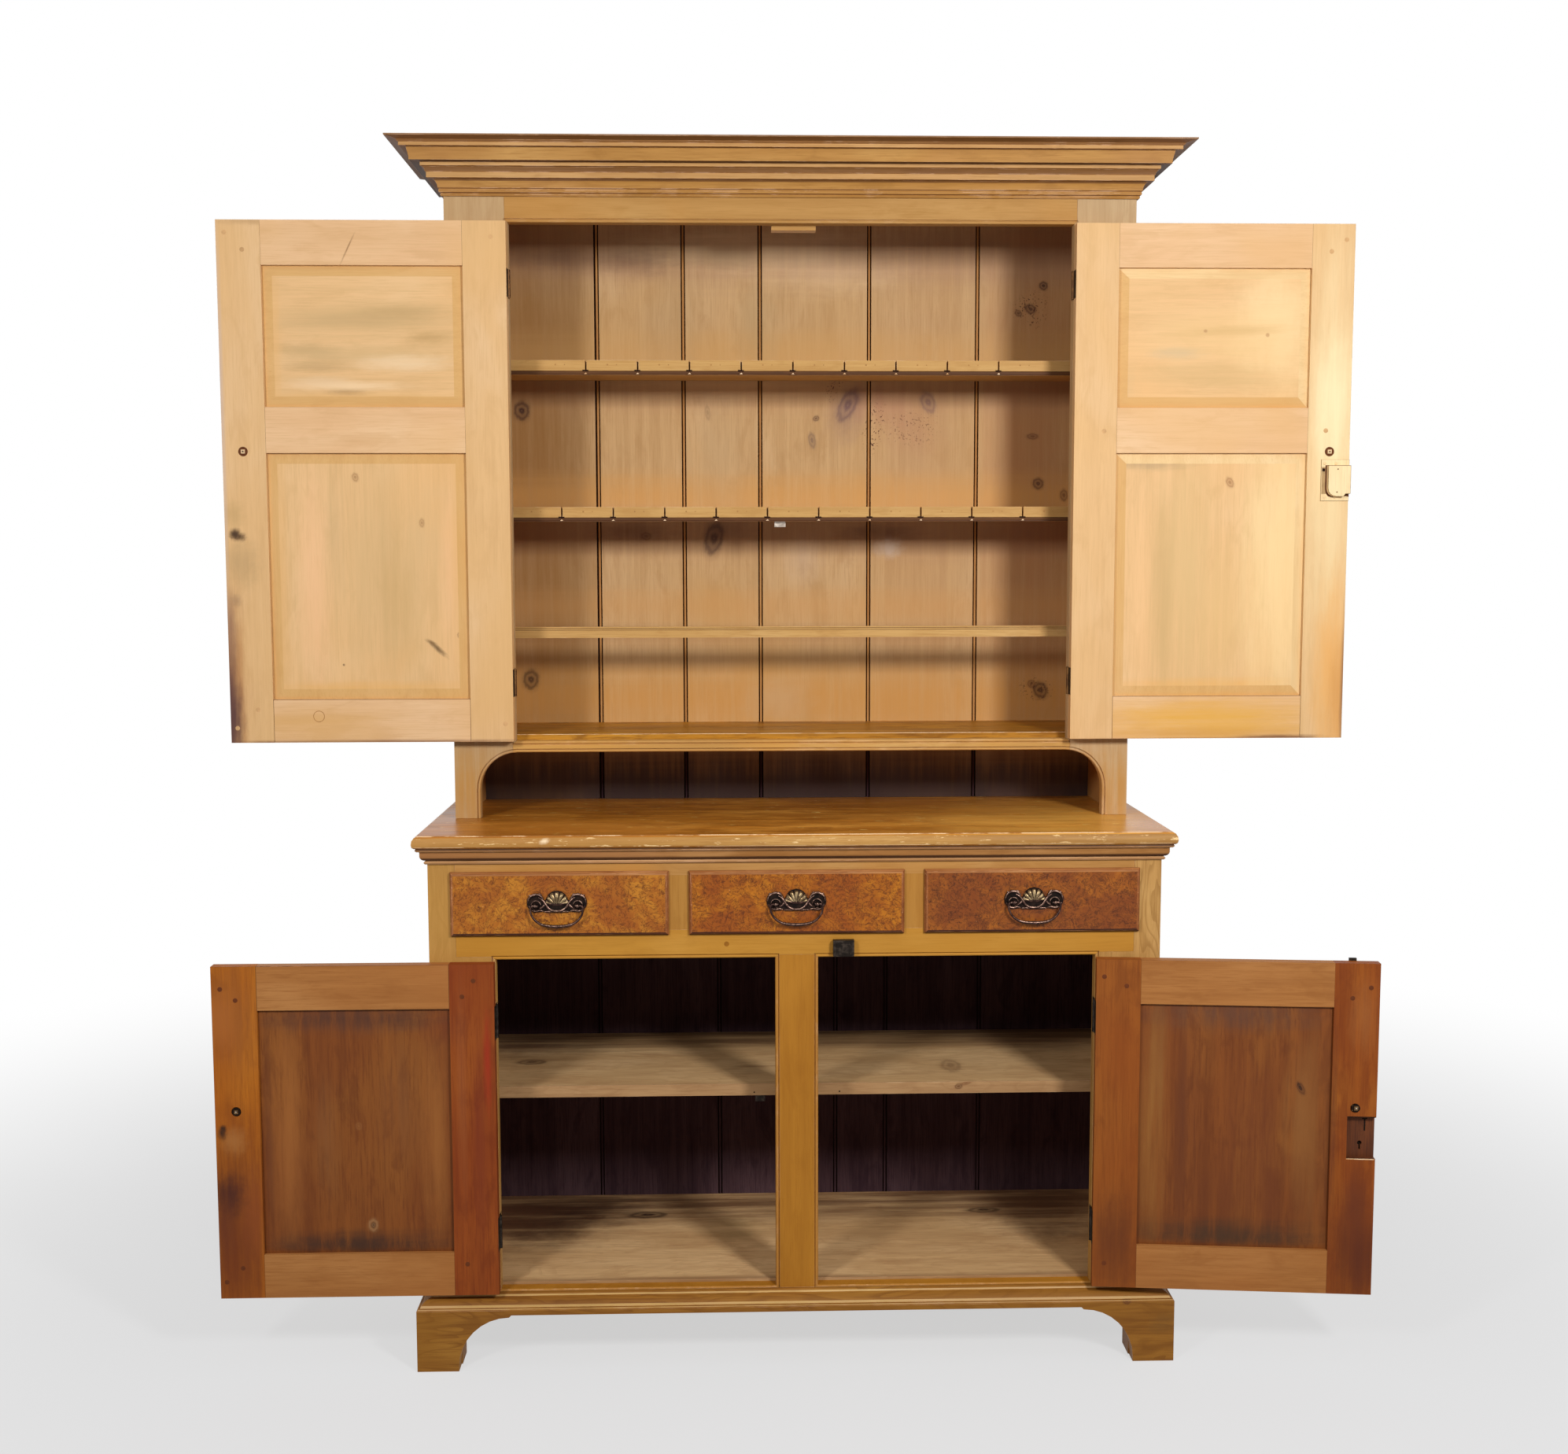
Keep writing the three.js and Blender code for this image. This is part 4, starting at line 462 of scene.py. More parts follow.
finishes = {
    "ochre": paint("cb9c57 b2813e dab06f d29946", wear=("f2ce94", 0.225)),
    "divider": paint("b07d38 9a6727 bd8e49 b67b2d", wear=("d3a663", 0.225)),
    "head": paint("b8874a a16f34 c5995e be843b", wear=("dbb37e", 0.225)),
    "moulding": paint("b88542 96662a cea05e b07c46", 0.55, wear=("f5d09a", 0.25)),
    "base_top": paint("d0a766 aa8245 e5c387 c79e70", 0.55, wear=("ffeecc", 0.25)),
    "cornice_dark": paint("845a30 6b451f 926a42 7e5536", 0.55, wear=("a68367", 0.25)),
    "under_dark": paint("5c381c 402614 704826"),
    "under_light": paint("c49262 a07042 d6a87a", 0.55, wear=("e8c49e", 0.3)),
    "cornice_light": paint("c6965c a67842 d6aa72", wear=("f6dab0", 0.26)),
    "under_counter": paint("a5713b 875726 b68550 9e6a41", 0.55, wear=("d0a37c", 0.25)),
    "oak": paint("bb8c4e 91652e cda162 c18e43", 0.55, figure=0.5, wear=("ebc592", 0.22)),
    "foot_oak": paint("9c6826 744515 ad7b32 8f5d1d", 0.6, figure=0.55, wear=("cc9e5b", 0.25),
        stains_and_light=[(660, 70, 30, 20, 0.4, "785224", 0.6)], knots=[(592, 112, 11, 9, 0.2, "562c1a", 0.9)]),
    "golden": paint("c08832 a77021 cd9744 b87e27", 0.4, wear=("e6bc75", 0.215)),
    "centre": paint("ae7321 975e15 bd812a b77b25", 0.45, wear=("edbe69", 0.2)),
    "door_bevel": paint("d8aa6b c9985a deb279 d5a15e", 0.4, stains_and_light=UPPER_RAIL_MARKS, least=0.75),
    # the right upper door's bevels that face LIT_WAY: a painted highlight
    "pale_bevel": paint("e8c48c d6ac74 f0d09e", 0.4),
    "back": paint("cba472 b08755 d5b184 c5975b", knots=BACK_KNOTS, stains_and_light=BACK_STAINS_AND_PAINTED_LIGHT, specks=BACK_SPECKS,
        least=0.75),
    "inside": paint("c28a4e a67038 ca985e"),
    "shelf": paint("ca9e5e ad7d40 d3ab6f", wear=("ddba82", 0.24)),
    "floor": paint("b97e23 794910 ca902e", 0.85, across=45.0, roughness=0.35, wear=("e7a941", 0.24)),
    # counter: the pale patch towards its right end is painted light
    "counter": paint("cc842c 91561a efac4b b8742a", 0.8, across=40.0, roughness=0.33, wear=("fce085", 0.36),
        stains_and_light=[(470, 120, 962, 240, 260, 60, "ffc25c", 0.7)]),
    "red": paint("8c4011 6a2909 9f551c 7e330c", 0.6, stains_and_light=sided(LOWER_INNER_MARKS, -1), least=0.75),
    "red_right": paint("924a13 6f300a a6611e 843b0d", 0.6, stains_and_light=sided(LOWER_OUTER_MARKS, 1), least=0.75),
    "orange": paint("ac723b 8d5525 ba824a a66832", 0.55),
    "brown": paint("82471b 633112 905723 783f18", 0.7, knots=LOWER_DOOR_KNOTS, stains_and_light=LOWER_PANEL_MARKS,
        across=48.0),
    # pine: its ground is paler than pine_front's, so that the tops of the shelf and the bottom board look
    # lit: painted light
    "pine": paint("d8b07c b2875a e8c390", roughness=0.6, across=36.0, figure=0.25, knots=SHELF_KNOTS,
        stains_and_light=SHELF_DARK_PATCHES),
    "pine_front": paint("b68e61 956c45 c39d71", roughness=0.6, across=36.0, figure=0.25,
        knots=[(302, 472, 11, 8, 0.3, "603a20", 0.9), (316, 478, 14, 5, 0.3, "784c2c", 0.8)]),
    # dark: the lower back boards and the beads in the pie shelf's recess, a dark stain deepened further as
    # painted shade
    "dark": paint("4a3639 2e1f26 564145", 0.6, roughness=0.75, specular=0.0),
    "drawer_side": paint("b2885c 926842 c0986c", roughness=0.6),
    "stile": paint("c0a177 aa865a ccaf89 c29965",
        stains_and_light=[(-600, 1010, 160, 90, 0, "bc8a48", 0.9), (600, 1010, 160, 90, 0, "bc8a48", 0.9)],
        wear=("d7ba92", 0.22)),
    "door_stile": paint("dfb47e cda16b e5bf91 ddaf73", 0.42, stains_and_light=UPPER_STILE_MARKS, least=0.75),
    "door_rail": paint("e2b687 cd9f6c eac59a deae74", 0.42, stains_and_light=UPPER_RAIL_MARKS, least=0.75),
    "door_panel_left": paint("e3b781 cda36c e7bf8d e5b173", 0.45, knots=sided(UPPER_DOOR_KNOTS, -1),
        stains_and_light=sided(UPPER_PANEL_MARKS, -1), least=0.75),
    "door_panel_right": paint("e3b781 cda36c e7bf8d e5b173", 0.45, knots=sided(UPPER_DOOR_KNOTS, 1),
        stains_and_light=sided(UPPER_PANEL_MARKS, 1), least=0.75),
    "door_outside": paint("c8985c ac7c42 d4a874 cc944c", wear=("e2ba8c", 0.22)),
    "orange_dark": paint("935018 70370e a15f20 8a4412", 0.6, stains_and_light=sided(LOWER_INNER_MARKS, 1), least=0.75),
    "orange_left": paint("b06315 86450c c0741c a5540f", 0.6, stains_and_light=sided(LOWER_OUTER_MARKS, -1), least=0.75),
    "rear": paint("a8825c 805e40 ba946c", 0.6, roughness=0.7, across=40.0, figure=0.2),
    "lip": paint("9e5e30 703c1c ba7c4c", 0.6, wear=("d09e70", 0.38)),
    "lip_light": paint("ac703e 864e28 c28a56", 0.6, wear=("e0b080", 0.3)),
    "lip_dark": paint("3c1a0d 281008 562c16", 0.6, wear=("be8c5e", 0.24)),
    "rubbed_shelf": worn_edge("cc9e64 eac698", 0.12),
    "rubbed": worn_edge("be8c54 e0b68a", 0.12),
    "rubbed_dark": worn_edge("a6743e d6aa82", 0.14),
    "rubbed_counter": worn_edge("a46c34 ecc698", 0.18),
    "rubbed_door": worn_edge("cea06e b08254", 0.08),
    "rubbed_red": worn_edge("703e1e b07042", 0.1),
    "rubbed_pine": worn_edge("aa825a c8a278", 0.1),
    "rubbed_lip": worn_edge("804824 c48e64", 0.12),
    "burl_left": burl("a6601b 5f2d0b bd7a26 944d18"),
    "burl_middle": burl("9c5613 552607 b76f1a 8c4311"),
    "burl_right": burl("884815 472008 a25c1b 773914"),
    "brass": metal("32211e 5c4238", 0.34),
    "worn_brass": metal("543e36 a48472", 0.3, scale=340.0),
    "back_brass": metal("160f0d 2c1e18", 0.5),
    "shell_brass": metal("6e5a3e ac9670", 0.3),
    "iron": metal("221c18 463c34", 0.5),
    "steel": metal("968a7e c4baae", 0.4),
    "lock": paint("f3d6a2 debc8a fae4b6 e8ce98", wear=("be9c70", 0.28)),
    "hollow": plain("b29266", 0.7),
    "recess": paint("68361a 3c1e10 7c4624", 0.7),
    "hinge": metal("543822 88623a", 0.5),
    "seam": plain("684626", 0.8),
    "seam_pale": plain("b2804c", 0.8),
    "gap": plain("28160e", 0.9),
    "nail": plain("b0804a", 0.6),
    "nut": metal("543e26 8c6e4a", 0.4),
    "pale_nut": plain("e8c496", 0.5),
    "brown_hole": plain("683c22", 0.8),
    "frieze": paint("b98a4c a37436 c1955a c18539", wear=("d2aa75", 0.22)),
    "nose": paint("c39350 9d6b30 d6a968 b68141", 0.6,
        stains_and_light=[(-440, 953, 9, 5, 0.3, "f4d6ac", 1), (560, 951, 240, 40, 0, "9e723e", 0.9)],
        wear=("f6d297", 0.41)),
    "cornice_top": paint("8e6e54 684e3c aa8664", 0.6, wear=("ceaa82", 0.3)),
    "peg": plain("d7a975", 0.6),
    "brown_plug": plain("9e6622", 0.5),
    "dark_peg": plain("68361c", 0.6),
    "hole": plain("1e140e", 0.9),
    "block": paint("e2be92 c8a074 e8c8a0", 0.4),
    "strip": worn_edge("c4925c eccca6", 0.2),
}
for finish_name, material in finishes.items():
    material.name = finish_name


# Mesh pieces

def copy_of(node):
    """A CAD node's mesh, welded and with its flat triangles joined into whole faces."""
    mesh = bmesh.new()
    mesh.from_mesh(frame["nodes"][node].data)
    bmesh.ops.remove_doubles(mesh, verts=mesh.verts, dist=WELD)
    bmesh.ops.dissolve_limit(mesh, angle_limit=FLAT, verts=mesh.verts, edges=mesh.edges)
    return mesh


def keep_behind(mesh, point, normal):
    """Cuts away what lies in front of a plane and closes the cut."""
    parts = mesh.verts[:] + mesh.edges[:] + mesh.faces[:]
    bmesh.ops.bisect_plane(mesh, geom=parts, dist=WELD, plane_co=point, plane_no=normal, clear_outer=True)
    rims = [edge for edge in mesh.edges if edge.is_boundary]
    if rims:
        bmesh.ops.holes_fill(mesh, edges=rims, sides=0)


def stretch(node, direction, low, high):
    """The part of a CAD node between two values along X, Y or Z, in the places' millimetres."""
    mesh = copy_of(node)
    for value, sign in ((low, -1), (high, 1)):
        if value is not None:
            keep_behind(mesh, place(*(value * c for c in direction)), direction * sign)
    return mesh


def skinned(mesh, rings):
    """Joins rings of points into one closed skin; a ring of one point is a tip."""
    for lower, upper in zip(rings, rings[1:]):
        for i in range(max(len(lower), len(upper))):
            here, there = ((ring[i % len(ring)], ring[(i + 1) % len(ring)]) for ring in (lower, upper))
            corners = list(dict.fromkeys((*here, *reversed(there))))
            if len(corners) > 2:
                mesh.faces.new(corners)
    for ring in (rings[0], rings[-1]):
        if len(ring) > 1:
            mesh.faces.new(ring)
    bmesh.ops.recalc_face_normals(mesh, faces=mesh.faces)
    return mesh


def circle(mesh, middle, side, over, radius, sides):
    """A ring of points; one point where the radius is nought."""
    if radius == 0:
        return [mesh.verts.new(middle)]
    turns = [math.tau * i / sides for i in range(sides)]
    return [mesh.verts.new(middle + (side * math.cos(a) + over * math.sin(a)) * radius * MM) for a in turns]


def sideways(y, z, x):
    return x, y, z


def forward(x, z, y):
    return x, y, z


def upward(x, y, z):
    return x, y, z


def extruded(outline, start, end, to_place):
    """An outline carried between two values of the third direction; to_place turns the three into a place."""
    mesh = bmesh.new()
    rings = [[mesh.verts.new(place(*to_place(a, b, c))) for a, b in outline] for c in (start, end)]
    return skinned(mesh, rings)


def oblong(left, bottom, right, top):
    return [(left, bottom), (right, bottom), (right, top), (left, top)]


def block(low, high):
    """A block between two places."""
    return extruded(oblong(low[0], low[2], high[0], high[2]), low[1], high[1], forward)


def tube(path, radii, sides):
    """A round rod through places, with a radius at each."""
    mesh = bmesh.new()
    rings = []
    points = [place(*spot) for spot in path]
    for point, before, after, radius in zip(points, points[:1] + points, points[1:] + points[-1:], radii):
        heading = (after - before).normalized()
        side = heading.cross(BACK).normalized()
        rings.append(circle(mesh, point, side, side.cross(heading), radius, sides))
    return skinned(mesh, rings)


def turned(profile, middle, axis, sides=24):
    """A turned piece: profile holds (radius, height) along an axis from a place."""
    mesh = bmesh.new()
    side = axis.orthogonal().normalized()
    start = place(*middle)
    return skinned(mesh, [
        circle(mesh, start + axis * height * MM, side, axis.cross(side), radius, sides)
        for radius, height in profile
    ])


def merged(meshes):
    """Several meshes in one."""
    whole = bmesh.new()
    for mesh in meshes:
        part = bpy.data.meshes.new("part")
        mesh.to_mesh(part)
        mesh.free()
        whole.from_mesh(part)
        bpy.data.meshes.remove(part)
    return whole


BODY_OF = {
    node: body for body, nodes in frame["record"]["behaviour"]["bodies"].items() for node in nodes
}


# Picks of faces: each takes a face and says whether it is meant

def centre(face):
    return in_mm(face.calc_center_median())


def facing(direction, least=math.cos(SMOOTH)):
    return lambda face: face.normal.dot(direction) > least


def above(height):
    return lambda face: centre(face).z > height and face.normal.z < 0.5


def between(low, high):
    return lambda face: low < centre(face).z < high


def behind(depth):
    return lambda face: centre(face).y > depth


def tilted(direction):
    """Picks the sloping faces round a raised field, on either side of a panel."""
    return lambda face: BEVEL_LEAST < abs(face.normal.dot(direction)) < BEVEL_MOST


def both(first, second):
    return lambda face: first(face) and second(face)


def piece(name, mesh, of, finish, along=UP, edge=EDGE, edge_finish=None, faces=(), stands=True, slot=None,
          seam=None):
    """Makes a mesh an object of the part, on the body of the CAD node named by of.

    It rounds the mesh's edges, writes its grain and sets its finishes. faces holds (picks, finish) for
    the faces with a finish of their own, stands says that the piece shows in the node's place, and seam
    picks the rounded edges that dirt and painted shade have darkened.
    """
    for face in mesh.faces:
        for index, (picks, _) in enumerate(faces):
            if picks(face):
                face.material_index = index + 2
    if edge:
        sharp = [e for e in mesh.edges if len(e.link_faces) == 2 and e.calc_face_angle(0) > SHARP]
        bmesh.ops.bevel(mesh, geom=sharp, offset=edge * MM, offset_type="OFFSET", segments=2, profile=0.6,
                        affect="EDGES", clamp_overlap=True, material=1 if edge_finish else -1)
    for face in mesh.faces:
        face.smooth = True
        if seam and face.material_index == 1 and seam(face):
            face.material_index = len(faces) + 2
    for each in mesh.edges:
        each.smooth = len(each.link_faces) == 2 and each.calc_face_angle(0) < SMOOTH
    data = bpy.data.meshes.new(name)
    mesh.to_mesh(data)
    mesh.free()
    for each in (finish, edge_finish or finish, *(other for _, other in faces), *(["seam"] if seam else [])):
        data.materials.append(finishes[each])
    write_grain(data, name, along)
    made = added(name, data)
    made.modifiers.new("normals", "WEIGHTED_NORMAL").keep_sharp = True
    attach(made, BODY_OF[of])
    if stands:
        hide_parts(of)


def write_grain(data, name, along):
    """Stores how far each point lies along and across the grain, shifted so that no two boards match."""
    shift = Vector([random.Random(name + axis).uniform(0, 9) for axis in "xyz"])
    across = along.orthogonal().normalized() if abs(along.z) > 0.5 else UP
    ways = (along, across, along.cross(across))
    values = [vertex.co.dot(way) + off for vertex in data.vertices for way, off in zip(ways, shift)]
    layer = data.attributes.new("grain", "FLOAT_VECTOR", "POINT")
    layer.data.foreach_set("vector", values)


def dress(node, finish, **looks):
    """The visible piece for a CAD node that keeps its shape."""
    piece(node + "_board", copy_of(node), node, finish, **looks)


def trim(name, meshes, of, finish, **looks):
    """Small things in one piece, added to what a node shows."""
    piece(name, merged(meshes), of, finish, stands=False, **{"edge": 0, **looks})


def round_the_case(node, corner, finish, faces):
    """A node that runs round the front and both ends, as three lengths mitred at the front corners."""
    front = copy_of(node)
    lengths = [("front", front, RIGHT)]
    for word, side in SIDES.items():
        spot = place(side * corner[0], corner[1], 0)
        slant = Vector((side, 1, 0)).normalized()
        keep_behind(front, spot, slant)
        end = copy_of(node)
        keep_behind(end, spot, -slant)
        lengths.append((word, end, BACK))
    for word, mesh, along in lengths:
        piece(f"{node}_{word}", mesh, node, finish, along=along, faces=faces, **worn("rubbed_dark"))


def worn(finish="rubbed"):
    """The looks of a board with finely rounded edges, rubbed through."""
    return {"edge": FINE_EDGE, "edge_finish": finish}


def rounded_path(points, steps):
    """A smooth path through points, with the given number of steps between each two."""
    padded = [points[0], *points, points[-1]]
    path = []
    for corners in zip(padded, padded[1:], padded[2:], padded[3:]):
        for step in range(steps):
            t = step / steps
            path.append(tuple(
                0.5 * (2 * q + (r - p) * t + (2 * p - 5 * q + 4 * r - s) * t ** 2
                       + (3 * q - p - 3 * r + s) * t ** 3)
                for p, q, r, s in zip(*corners)
            ))
    return [*path, tuple(points[-1])]


# Doors

PIN_TO_EDGE = 0.75
DOOR_OUTSIDE = 3.0
DOOR_INSIDE = 24.0
DOOR_STILE = 78.0
BEVEL_LEAST = math.cos(math.radians(28))
BEVEL_MOST = math.cos(math.radians(4))
LIT_WAY = Vector((0.8, 0, 0.6))
LIT_LEAST = 0.03
RECESS_WIDTH = 52.0
RECESS_SPAN = (380.0, 468.0)
RECESS_FLOOR = 12.0
HINGE_INSET = 107.0
LEAF_WIDTH = 18.0
NUT_HALF = 3.6
BOARD_WORDS = {2: ("bottom_rail", "top_rail"), 3: ("bottom_rail", "middle_rail", "top_rail")}

# What the doors of a case share: pin, heights, openings, leaf length, finishes and the nut's hole
UPPER = SimpleNamespace(
    pin=(512.45, 190.0), span=(1108.0, 2043.2), openings=(1187.0, 1632.2, 1714.2, 1964.2), leaf=50.0,
    edge="rubbed_door", peg="peg", nut=(8.6, "brown_hole", "pale_nut", "hole"),
)
LOWER = SimpleNamespace(
    pin=(530.45, -3.0), span=(139.0, 737.0), openings=(218.0, 658.0), leaf=60.0,
    edge="rubbed_red", peg="dark_peg", nut=(7.2, "hole", "nut", "steel"),
)


class Door:
    """An open door. at() gives a place: so far from the hinged edge, so far out from the pin, so high."""

    def __init__(self, name, kind, turn, width, boards, panels, pegs):
        self.name = name
        self.frame = name + "_door_frame"
        self.kind = kind
        self.side = SIDES[name.split("_")[1]]
        angle = math.radians(turn)
        self.pin = Vector((self.side * kind.pin[0], kind.pin[1], 0))
        self.along = Vector((self.side * math.cos(angle), -math.sin(angle), 0))
        self.out = Vector((-self.side * math.sin(angle), -math.cos(angle), 0))
        self.bottom, self.top = kind.span
        self.width = width
        self.boards = boards
        self.panels = panels
        self.pegs = pegs

    def at(self, distance, depth, height):
        spot = self.pin + self.along * (PIN_TO_EDGE + distance) + self.out * depth
        return Vector((spot.x, spot.y, height))

    def where(self, spot):
        """The distance, depth and height of a place: the reverse of at()."""
        offset = Vector((spot[0], spot[1], 0)) - self.pin
        return offset.dot(self.along) - PIN_TO_EDGE, offset.dot(self.out), spot[2]

    def level(self, x):
        """The distance at which the door's own line has an x."""
        return (x * self.side - abs(self.pin.x)) / abs(self.along.x) - PIN_TO_EDGE

    def on_face(self, middle, height):
        """Turns an outline's distance, rise and depth, from a point of the door, into a place."""
        return lambda a, b, c: self.at(middle + a, c, height + b)


DOORS = [
    Door("upper_left", UPPER, 0.0, 513.7, ("door_stile", "door_stile", "door_rail"),
         ("door_panel_left", "door_bevel", "door_bevel"),
         [(-1012, 2021), (-981, 1991), (-540, 2015), (-1015, 1135), (-977, 1169), (-528, 1141)]),
    Door("upper_right", UPPER, 0.0, 507.7, ("door_stile", "door_stile", "door_rail"),
         ("door_panel_right", "door_bevel", "pale_bevel"),
         [(1005, 2015), (978, 1994), (568, 1672), (976, 1673)]),
    Door("lower_left", LOWER, 0.0, 490.2, ("red", "orange_left", "orange"), ("brown", "brown", "brown"),
         [(-1006, 697), (-980, 677), (-587, 680), (-567, 708), (-981, 194), (-1010, 169), (-586, 196)]),
    Door("lower_right", LOWER, 6.2, 490.2, ("orange_dark", "red_right", "orange"),
         ("brown", "brown", "brown"), [(545, 706), (584, 690), (972, 675), (1003, 694), (552, 183)]),
]


def door_board(door, word, distances, heights, finish, along):
    """One stile or rail of a door, cut out of its frame."""
    mesh = copy_of(door.frame)
    for distance, sign in zip(distances, (-1, 1)):
        if 0 < distance < door.width:
            keep_behind(mesh, place(*door.at(distance, 0, 0)), door.along * sign)
    for height, sign in zip(heights, (-1, 1)):
        if door.bottom < height < door.top:
            keep_behind(mesh, place(*door.at(0, 0, height)), UP * sign)

    def inner(face):
        distance, _, height = door.where(centre(face))
        return RIM < distance < door.width - RIM and door.bottom + RIM < height < door.top - RIM

    def sunk(face):
        distance, depth, height = door.where(centre(face))
        low, high = RECESS_SPAN
        inside = DOOR_OUTSIDE + 1 < depth < DOOR_INSIDE - 1
        return inside and distance > door.width - RECESS_WIDTH and low < height < high
    faces = [(facing(-door.out), "door_outside"), (sunk, "recess")]
    # the rounded edges round the panels take the seam finish: dirt and painted shade together
    piece(f"{door.name}_door_{word}", mesh, door.frame, finish, along=along, edge=SEAM_EDGE,
          edge_finish=door.kind.edge, faces=faces, seam=inner)


def door_boards(door):
    hinge_stile, lock_stile, rail = door.boards
    inside = door.width - DOOR_STILE
    door_board(door, "hinge_stile", (0, DOOR_STILE), door.kind.span, hinge_stile, UP)
    door_board(door, "lock_stile", (inside, door.width), door.kind.span, lock_stile, UP)
    levels = [door.bottom, *door.kind.openings, door.top]
    rails = list(zip(levels[::2], levels[1::2]))
    for word, heights in zip(BOARD_WORDS[len(rails)], rails):
        door_board(door, word, (DOOR_STILE, inside), heights, rail, door.along)


def door_panels(door):
    """Panels: the field, the bevels, and those bevels that face LIT_WAY have a finish each; on the right
    upper door that finish is a painted highlight.
    """
    field, bevel, lit_bevel = door.panels
    slopes = tilted(door.out)
    grains = {"_lower": UP, "_upper": RIGHT} if door.kind is UPPER else {"": UP}
    faces = [
        (slopes, bevel),
        (both(slopes, facing(LIT_WAY, LIT_LEAST)), lit_bevel),
        (facing(-door.out), "door_outside"),
    ]
    for word, along in grains.items():
        dress(f"{door.name}_door_panel{word}", field, along=along, edge=FINE_EDGE, faces=faces)


def door_pegs(door):
    """Peg ends on a door's inner face."""
    profile = [(0, 0), (4.2, 0), (4.2, 0.6), (3.36, 0.75), (0, 0.75)]
    pegs = [turned(profile, door.at(door.level(x), DOOR_INSIDE - 0.5, z), door.out, 16) for x, z in door.pegs]
    trim(door.name + "_door_pegs", pegs, door.frame, door.kind.peg)


def hinge_leaves(door):
    """The hinges' leaves on the door's own edge, with their screws."""
    half = door.kind.leaf / 2
    leaf = oblong(DOOR_OUTSIDE, -half, DOOR_OUTSIDE + LEAF_WIDTH, half)
    profile = [(0, 0), (2.6, 0), (2.2, 0.25), (0.4, 0.3), (0, 0.2)]
    made = []
    for height in (door.bottom + HINGE_INSET, door.top - HINGE_INSET):
        made.append(extruded(leaf, -0.5, SKIN, lambda depth, rise, off: door.at(off, depth, height + rise)))
        for rise, share in ((-1, 0.45), (0, 0.65), (1, 0.45)):
            spot = door.at(-0.4, DOOR_OUTSIDE + LEAF_WIDTH * share, height + rise * door.kind.leaf / 3)
            made.append(turned(profile, spot, -door.along, 14))
    trim(door.name + "_door_hinge_leaves", made, door.frame, "iron", slot="iron")


def door_knob(door):
    """The knob, and its bolt's end: a square nut in a dark hole on the door's inner face."""
    node = door.name + "_knob"
    bolt = [(lambda face: door.where(centre(face))[1] > DOOR_OUTSIDE, "nut")]
    piece(node + "_turning", copy_of(node), node, "ochre", edge=IRON_EDGE, faces=bolt)
    low, high = edges_of(node)
    distance, _, height = door.where((low + high) / 2)
    radius, hole_finish, nut_finish, end_finish = door.kind.nut
    ring = [(0, 0), (radius, 0), (radius, 0.5), (radius - 0.8, 0.65), (0, 0.65)]
    hole = turned(ring, door.at(distance, DOOR_INSIDE - 0.45, height), door.out, 28)
    trim(node + "_hole", [hole], door.frame, hole_finish)
    square = oblong(-NUT_HALF, -NUT_HALF, NUT_HALF, NUT_HALF)
    nut = extruded(square, DOOR_INSIDE, DOOR_INSIDE + 1.7, door.on_face(distance, height))
    trim(node + "_nut", [nut], node, nut_finish, edge=0.35, slot="brass")
    profile = [(0, 0), (1.3, 0), (1.3, 2.3), (0.9, 2.6), (0, 2.7)]
    end = turned(profile, door.at(distance, DOOR_INSIDE, height), door.out, 16)
    trim(node + "_bolt_end", [end], node, end_finish, slot="brass")


def dress_doors():
    for door in DOORS:
        door_boards(door)
        door_panels(door)
        door_pegs(door)
        hinge_leaves(door)
        door_knob(door)


# Lower and upper case

LOWER_CORNER = (647.1, 0.0)
UPPER_CORNER = (626.7, 193.0)
BACK_FACE = edges_of("lower_back_boards")[0].y
JOINT_HALF = 4.3
WIDE_JOINT = 5.4  # the first upper joint has opened
REAR_JOINT = 0.9
REAR_DEPTH = 2.5
TONGUE_DEPTH = 5.0
BEAD_HALF = 2.0
BEAD_RISE = 1.8
PIE_TOP = 1095.0  # under it the beads lie in the pie shelf's shade
HALF_TURN = [math.pi * step / 6 for step in range(7)]
BACK_JOINTS = {
    "lower_back_boards": [-382.5, -141.1, 95.3, 197.5, 389.4],
    "upper_back_boards": [-373.7, -205.1, -54.6, 160.2, 373.7],
}
SILL_TOP = 134.0
DRAWER_OPENING = (790.0, 888.0)
RAIL_THICKNESS = 23.0
BLOCK_FRONT = 216.0
BASE_TOP = 108.0

# Where the mouldings' hollows, beads and fillets lie: heights and finish. The dark finishes are painted shade
# under overhangs and in hollows, on the cornice with some dirt, and the light ones painted highlights on
# beads and fillets
COUNTER_LINES = [(937.5, 939, "under_dark"), (934.5, 936.7, "under_light"), (916.4, 921, "under_dark"),
                 (910.5, 916.2, "under_light")]
CORNICE_LINES = [(2170.8, 2177.4, "cornice_dark"), (2128.4, 2137.2, "cornice_dark"),
                 (2118.2, 2128, "cornice_light"), (2137.4, 2142.8, "cornice_light"),
                 (2165.4, 2170.6, "cornice_light")]
CORNICE_TOP = 2177.4
CORNICE_HOLLOW = (2142, 2144)


def lined(lines):
    """The picks of faces for moulding lines."""
    return [(between(low, high), finish) for low, high, finish in lines]


